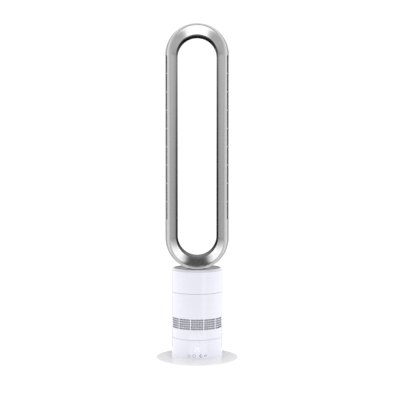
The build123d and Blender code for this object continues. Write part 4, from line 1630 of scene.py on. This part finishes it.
@dataclass
class OpeningCard(Card):
    """A graded card across the back of the loop's opening, reflected by the sides and the throat.

    Near its edge it shows in the black throat, and towards its middle line in the silver flare.

    Args:
        right: tones by radius for the flare on the right.
        left: the same on the left.
        throat: tones for the throat by quarter of the way round: right side, top, left side, foot.
        right_gain: how much brighter the right is at the lift's high end.
        left_gain: the same on the left.
        left_rise: tone added there beyond the radius left_from.
    """

    name: str = "opening_card"
    depth: float = 76.0
    radius: float = 61.0
    rings: int = 40
    throat_radius: float = 44.0
    throat_blend: float = 2.0
    lift_low: float = 480.0
    lift_high: float = 880.0
    right_gain: float = 0.25
    left_gain: float = 0.3
    left_rise: float = 0.1
    left_from: float = 35.0
    right: Stops = ((2, 0.56), (17, 0.47), (32, 0.41), (40, 0.38))
    left: Stops = ((2, 0.53), (17, 0.45), (32, 0.38), (38, 0.26))
    throat: Stops = (
        (0, 0.01), (0.3, 0.02), (0.6, 0.06), (0.8, 0.12), (1, 0.2), (1.1, 0.12), (1.25, 0.02),
        (1.7, 0.01), (1.85, 0.08), (2.02, 0.3), (2.2, 0.2), (2.5, 0.1), (2.8, 0.05), (2.98, 0.03),
        (3.06, 0.02), (3.15, 0.05), (3.35, 0.46), (3.5, 0.6), (3.66, 0.46), (3.85, 0.02), (4, 0.01),
    )

    def path(self) -> Stadium:
        """The loop's running line."""
        low, high = node_box("loop_front_ring")
        return Stadium(low[2] + high[0], high[2] - high[0])

    def line(self) -> np.ndarray:
        """Turn and centre height round the loop, closed."""
        line = self.path().path()
        return np.concatenate([line, line[:1]])

    def points(self) -> np.ndarray:
        """The card's grid: rays from the middle line outwards.

        Returns:
            Array (stations, rings, 3).
        """
        radius = np.linspace(0, self.radius, self.rings)
        section = np.stack([radius, 0 * radius + self.depth], axis=1)
        return self.path().place(section, self.line())

    def tones(self) -> np.ndarray:
        """Radiance at every point of the grid.

        Returns:
            Array (stations, rings).
        """
        path, radius = self.path(), np.linspace(0, self.radius, self.rings)[None]
        turn, centre = self.line()[:, :1], self.line()[:, 1:]
        quarters = (path.side_steps, path.arc_steps, path.side_steps, path.arc_steps)
        station = [part + np.arange(steps) / steps for part, steps in enumerate(quarters)]
        throat = read_stops(np.concatenate([*station, [4.0]]), self.throat)[:, None]
        lift = np.clip((centre - self.lift_low) / (self.lift_high - self.lift_low), 0, 1)
        right = read_stops(radius, self.right) * (1 + self.right_gain * lift)
        left = read_stops(radius, self.left) * (1 + self.left_gain * lift)
        left = left + self.left_rise * lift * (radius > self.left_from)
        flare = np.where(np.cos(turn) > 0, right, left)
        share = np.clip((radius - self.throat_radius) / self.throat_blend + 0.5, 0, 1)
        return flare * (1 - share) + throat * share


@dataclass
class SectorCard(Card):
    """A level card between two radii round the fan's axis, with tones by angle from the front.

    Args:
        inner: inner radius.
        outer: outer radius.
        level: height above the floor.
        stops: (degrees from the front, tone), from one edge to the other.
    """

    inner: float
    outer: float
    level: float
    stops: Stops

    def degrees(self) -> np.ndarray:
        """Angles of the grid's columns from the front."""
        return np.linspace(self.stops[0][0], self.stops[-1][0], 97)

    def points(self) -> np.ndarray:
        """The card's grid.

        Returns:
            Array (3, columns, 3).
        """
        radius = np.linspace(self.inner, self.outer, 3)
        turn, radius = np.meshgrid(np.radians(self.degrees()), radius)
        across, depth = radius * np.sin(turn), -radius * np.cos(turn)
        return np.stack([across, depth, 0 * turn + self.level], axis=-1)

    def tones(self) -> np.ndarray:
        """Radiance at every point of the grid."""
        return np.tile(read_stops(self.degrees(), self.stops), (3, 1))


@dataclass
class WallCard(Card):
    """An upright card between two places on the floor, with tones along it.

    Args:
        start: (x, y) of one upright edge.
        end: (x, y) of the other.
        low: height of its foot.
        high: height of its top.
        stops: (share of the way, tone).
        columns: places along it.
    """

    start: tuple[float, float]
    end: tuple[float, float]
    low: float
    high: float
    stops: Stops
    columns: int = 33

    def points(self) -> np.ndarray:
        """The card's grid.

        Returns:
            Array (3, columns, 3).
        """
        heights = np.linspace(self.low, self.high, 3)
        share, height = np.meshgrid(np.linspace(0, 1, self.columns), heights)
        x, y = (first + (last - first) * share for first, last in zip(self.start, self.end))
        return np.stack([x, y, height], axis=-1)

    def tones(self) -> np.ndarray:
        """Radiance at every point of the grid."""
        return np.tile(read_stops(np.linspace(0, 1, self.columns), self.stops), (3, 1))


@dataclass
class ArcCard(Card):
    """A graded half disc inside a round end of the loop, reflected by the flare there.

    Its rim shows in the flare's throat and its hub in the flare's mouth. Tones run from the
    middle line to the sides.

    Args:
        way: 1 for the loop's top and -1 for its foot.
        hub: height of the hub that the throat looks round.
        throat: tones by degrees from the middle line, for the throat.
        mouth: the same for the mouth.
        depth: the card's place in depth.
        radius: its outer radius.
        throat_radius: radius from which the tone is the throat's.
        mouth_radius: radius within which the tone is the mouth's.
        drift: how far the hub moves outwards for the mouth.
    """

    way: int
    hub: float
    throat: Stops
    mouth: Stops
    depth: float = 25.0
    radius: float = 57.0
    throat_radius: float = 50.0
    mouth_radius: float = 16.0
    drift: float = 7.0

    def grid(self) -> tuple[np.ndarray, np.ndarray, np.ndarray]:
        """Places on the card.

        Returns:
            Degrees from the middle line, radius, and share of the mouth's tone.
        """
        turn, radius = np.meshgrid(np.linspace(-90, 90, 91), np.linspace(0.3, self.radius, 20))
        span = self.throat_radius - self.mouth_radius
        return turn, radius, np.clip((self.throat_radius - radius) / span, 0, 1)

    def points(self) -> np.ndarray:
        """The card's grid: a fan of rays whose hub moves outwards for the mouth.

        Returns:
            Array (rings, rays, 3).
        """
        turn, radius, share = self.grid()
        across, reach = radius * np.sin(np.radians(turn)), radius * np.cos(np.radians(turn))
        height = self.hub + self.way * (reach + self.drift * share)
        return np.stack([across, 0 * across + self.depth, height], axis=-1)

    def tones(self) -> np.ndarray:
        """Radiance at every point of the grid.

        Returns:
            Array (rings, rays).
        """
        turn, _, share = self.grid()
        throat, mouth = (read_stops(np.abs(turn), stops) for stops in (self.throat, self.mouth))
        return throat + (mouth - throat) * share


EDGE_STOPS: Stops = ((0, 0.62), (0.8, 0.62), (1, 1.0))
PLATE_STOPS: Stops = ((0, 0.2), (0.2, 0.4), (0.5, 0.5), (1, 0.62))
CARDS: tuple[Card, ...] = (
    OpeningCard(),
    SectorCard("band_card", 22.0, 70.0, 262.9, ((-180, 0.9), (180, 0.9))),
    SectorCard(
        "cap_card", 22.0, 70.0, 262.6,
        ((-180, 0.52), (-60, 0.52), (-25, 0.08), (25, 0.08), (60, 0.52), (180, 0.52)),
    ),
    SectorCard(
        "floor_card", 122.0, 560.0, 1.0, ((-35, 1.0), (-30, 1.7), (36, 1.7), (41, 1.0)), steep=0.45
    ),
    WallCard(
        "streak_card", (220.0, -560.0), (350.0, -480.0), 0.0, 262.0,
        ((0, 0.93), (0.35, 1.6), (0.65, 1.6), (1, 0.93)),
    ),
    WallCard("left_edge_card", (-76.0, 150.0), (-170.0, 150.0), 0.0, 262.0, EDGE_STOPS),
    WallCard("right_edge_card", (76.0, 150.0), (170.0, 150.0), 0.0, 262.0, EDGE_STOPS),
    WallCard("left_plate_card", (-76.0, 148.0), (-170.0, 148.0), 0.0, 96.0, PLATE_STOPS),
    WallCard("right_plate_card", (76.0, 148.0), (170.0, 148.0), 0.0, 96.0, PLATE_STOPS),
    ArcCard(
        "top_card", 1, 876.6,
        (
            (15, 1.55), (22, 1.42), (25.5, 1.36), (29.5, 0.98), (35, 0.69), (41, 0.54), (60, 0.53),
            (75, 0.45), (90, 0.37),
        ),
        (
            (15, 1.65), (21, 1.5), (24.5, 1.3), (28.5, 0.82), (34, 0.62), (41, 0.55), (70, 0.6),
            (90, 0.69),
        ),
    ),
    ArcCard(
        "foot_card", -1, 347.6,
        (
            (13, 0.1), (20, 0.15), (25, 0.29), (35, 0.88), (42, 1.32), (55, 1.4), (65, 1.0),
            (75, 0.6), (90, 0.28),
        ),
        (
            (13, 0.1), (20, 0.18), (25, 0.62), (30, 1.2), (35, 1.36), (42, 1.5), (65, 1.45),
            (75, 1.05), (90, 0.52),
        ),
    ),
)


@dataclass
class Studio:
    """White surroundings, a pale floor and soft cards that shape the reflections in the flare.

    Distances are metres.

    Args:
        back_tone: the room's radiance behind and at the sides.
        front_tone: the same in front.
        front_reach: direction's y at which the front tone is reached.
        card_gain: factor on every card's tones.
        side_power: watts of each side light.
        side_place: its place across, in depth and in height.
        side_size: its width and height.
        floor_radius: the floor's radius.
        floor_steps: divisions round it.
        floor_glow: strength of its own light.
        floor_tone: its base colour.
        steep_from: facing at which a card's steep share ends.
        steep_to: facing at which its whole tone is reached.
    """

    back_tone: float = 1.08
    front_tone: float = 0.93
    front_reach: float = -0.9
    card_gain: float = 1.11
    side_power: float = 3.2
    side_place: tuple[float, float, float] = (1.5, 0.35, 0.16)
    side_size: tuple[float, float] = (1.0, 0.3)
    floor_radius: float = 1.25
    floor_steps: int = 96
    floor_glow: float = 0.88
    floor_tone: float = 0.2
    steep_from: float = 0.5
    steep_to: float = 0.7

    def floor(self) -> None:
        """A plain white round floor that glows a little, so that shadows on it stay pale."""
        turn = np.linspace(0, 2 * np.pi, self.floor_steps, endpoint=False)
        rim = np.stack([np.cos(turn), np.sin(turn), 0 * turn], axis=1) * self.floor_radius
        mesh = bpy.data.meshes.new("floor")
        mesh.from_pydata(rim.tolist(), [], [tuple(range(self.floor_steps))])
        material = bpy.data.materials.new("floor_white")
        material.use_nodes = True
        shader = material.node_tree.nodes["Principled BSDF"]
        shader.inputs["Base Color"].default_value = (*[self.floor_tone] * 3, 1)
        shader.inputs["Roughness"].default_value = 0.9
        shader.inputs["Specular IOR Level"].default_value = 0.0
        shader.inputs["Emission Color"].default_value = (1, 1, 1, 1)
        shader.inputs["Emission Strength"].default_value = self.floor_glow
        mesh.materials.append(material)
        floor = bpy.data.objects.new("floor", mesh)
        bpy.context.scene.collection.objects.link(floor)

    def world(self) -> None:
        """White light from all round, weaker from the front than from behind and the sides.

        The tone follows the direction's y in a straight line from the front's reach to zero.
        """
        world = bpy.data.worlds.new("white_room")
        world.use_nodes = True
        nodes, links = world.node_tree.nodes, world.node_tree.links
        kinds = ("ShaderNodeTexCoord", "ShaderNodeSeparateXYZ", "ShaderNodeMapRange")
        place, split, tone = (nodes.new(kind) for kind in kinds)
        tone.inputs["From Min"].default_value = self.front_reach
        tone.inputs["From Max"].default_value = 0.0
        tone.inputs["To Min"].default_value = self.front_tone
        tone.inputs["To Max"].default_value = self.back_tone
        links.new(place.outputs["Generated"], split.inputs["Vector"])
        links.new(split.outputs["Y"], tone.inputs["Value"])
        links.new(tone.outputs["Result"], nodes["Background"].inputs["Strength"])
        nodes["Background"].inputs["Color"].default_value = (1, 1, 1, 1)
        bpy.context.scene.world = world

    def glow(self, card: Card) -> bpy.types.Material:
        """The card's light, read from its mesh and weaker on steep looks where the card asks.

        Args:
            card: the card.

        Returns:
            The material.
        """
        material = bpy.data.materials.new(card.name)
        material.use_nodes = True
        nodes, links = material.node_tree.nodes, material.node_tree.links
        light, tone = nodes.new("ShaderNodeEmission"), nodes.new("ShaderNodeAttribute")
        tone.attribute_name = "glow"
        strength = tone.outputs["Fac"]
        if card.steep < 1.0:
            kinds = ("ShaderNodeLayerWeight", "ShaderNodeMapRange", "ShaderNodeMath")
            view, fade, product = (nodes.new(kind) for kind in kinds)
            view.inputs["Blend"].default_value = 0.5
            fade.inputs["From Min"].default_value = self.steep_from
            fade.inputs["From Max"].default_value = self.steep_to
            fade.inputs["To Min"].default_value = card.steep
            product.operation = "MULTIPLY"
            links.new(view.outputs["Facing"], fade.inputs["Value"])
            links.new(fade.outputs["Result"], product.inputs[0])
            links.new(strength, product.inputs[1])
            strength = product.outputs["Value"]
        links.new(strength, light.inputs["Strength"])
        links.new(light.outputs["Emission"], nodes["Material Output"].inputs["Surface"])
        return material

    def card(self, card: Card) -> None:
        """Adds a glowing card, unseen by the camera, that the fan's glossy skins reflect.

        Args:
            card: the card's shape and tones.
        """
        points = card.points()
        sheet = Sheet(points, wrap_columns=False)
        mesh = bpy.data.meshes.new(card.name)
        mesh.from_pydata((points.reshape(-1, 3) * MM).tolist(), [], sheet.quads(0).tolist())
        glow = mesh.attributes.new("glow", "FLOAT", "POINT")
        glow.data.foreach_set("value", (card.tones() * self.card_gain).ravel().astype(np.float32))
        mesh.materials.append(self.glow(card))
        shown = bpy.data.objects.new(card.name, mesh)
        shown.visible_camera = False
        shown.visible_shadow = False
        shown.visible_diffuse = False
        shown.visible_transmission = False
        bpy.context.scene.collection.objects.link(shown)

    def side_lights(self) -> None:
        """Two soft lights at the sides that only the matt skins take."""
        for name, way in (("left_light", -1), ("right_light", 1)):
            data = bpy.data.lights.new(name, "AREA")
            data.shape, data.energy = "RECTANGLE", self.side_power
            data.size, data.size_y = self.side_size
            light = bpy.data.objects.new(name, data)
            x, y, z = self.side_place
            light.location = (way * x, y, z)
            light.rotation_euler = (np.radians(90), 0, np.arctan2(way * x, -y))
            light.visible_glossy = light.visible_camera = False
            bpy.context.scene.collection.objects.link(light)

    def build(self) -> None:
        """Sets the room, the floor, the lights and the cards."""
        self.world()
        self.floor()
        self.side_lights()
        for card in CARDS:
            self.card(card)
        view = bpy.context.scene.view_settings
        view.view_transform = "Standard"
        view.look = "None"
        view.exposure = 0.0
        view.gamma = 1.0
        log.info("studio ready")


@dataclass
class PhotoCamera:
    """The camera at the photograph's place.

    Args:
        distance: in front of the fan's axis, in millimetres.
        height: above the floor, in millimetres.
        dip: downward tilt in degrees.
        focal_pixels: focal length in pixels of the frame.
        axis_pixel: image column of the fan's axis.
        frame_pixels: the frame's width in pixels.
        sensor: sensor width in millimetres.
        reach: farthest distance seen, in metres.
    """

    distance: float = 2827.6
    height: float = 590.0
    dip: float = 2.648
    focal_pixels: float = 982.7
    axis_pixel: float = 197.1
    frame_pixels: float = 400.0
    sensor: float = 36.0
    reach: float = 100.0

    def build(self) -> None:
        """Makes the camera and sets it as the scene's."""
        data = bpy.data.cameras.new("photo_camera")
        data.sensor_width = self.sensor
        data.lens = self.focal_pixels * self.sensor / self.frame_pixels
        data.shift_x = (self.frame_pixels / 2 - self.axis_pixel) / self.frame_pixels
        data.clip_end = self.reach
        camera = bpy.data.objects.new("photo_camera", data)
        camera.location = (0.0, -self.distance * MM, self.height * MM)
        camera.rotation_euler = (np.radians(90 - self.dip), 0.0, 0.0)
        bpy.context.scene.collection.objects.link(camera)
        bpy.context.scene.camera = camera


def main() -> None:
    """Builds the fan from the floor up, then the studio and the camera."""
    logging.basicConfig(level=logging.INFO, format="%(name)s: %(message)s")
    CarriedParts().build()
    BasePlate().build()
    ControlDrum().build()
    PrintedMarks().build()
    IntakeDrum().build()
    ScreenNet().build()
    DrumWall("upper_drum", "upper_casing", Body.TOWER).build()
    Collar().build()
    AirLoop().build()
    Studio().build()
    PhotoCamera().build()


if __name__ == "__main__":
    main()
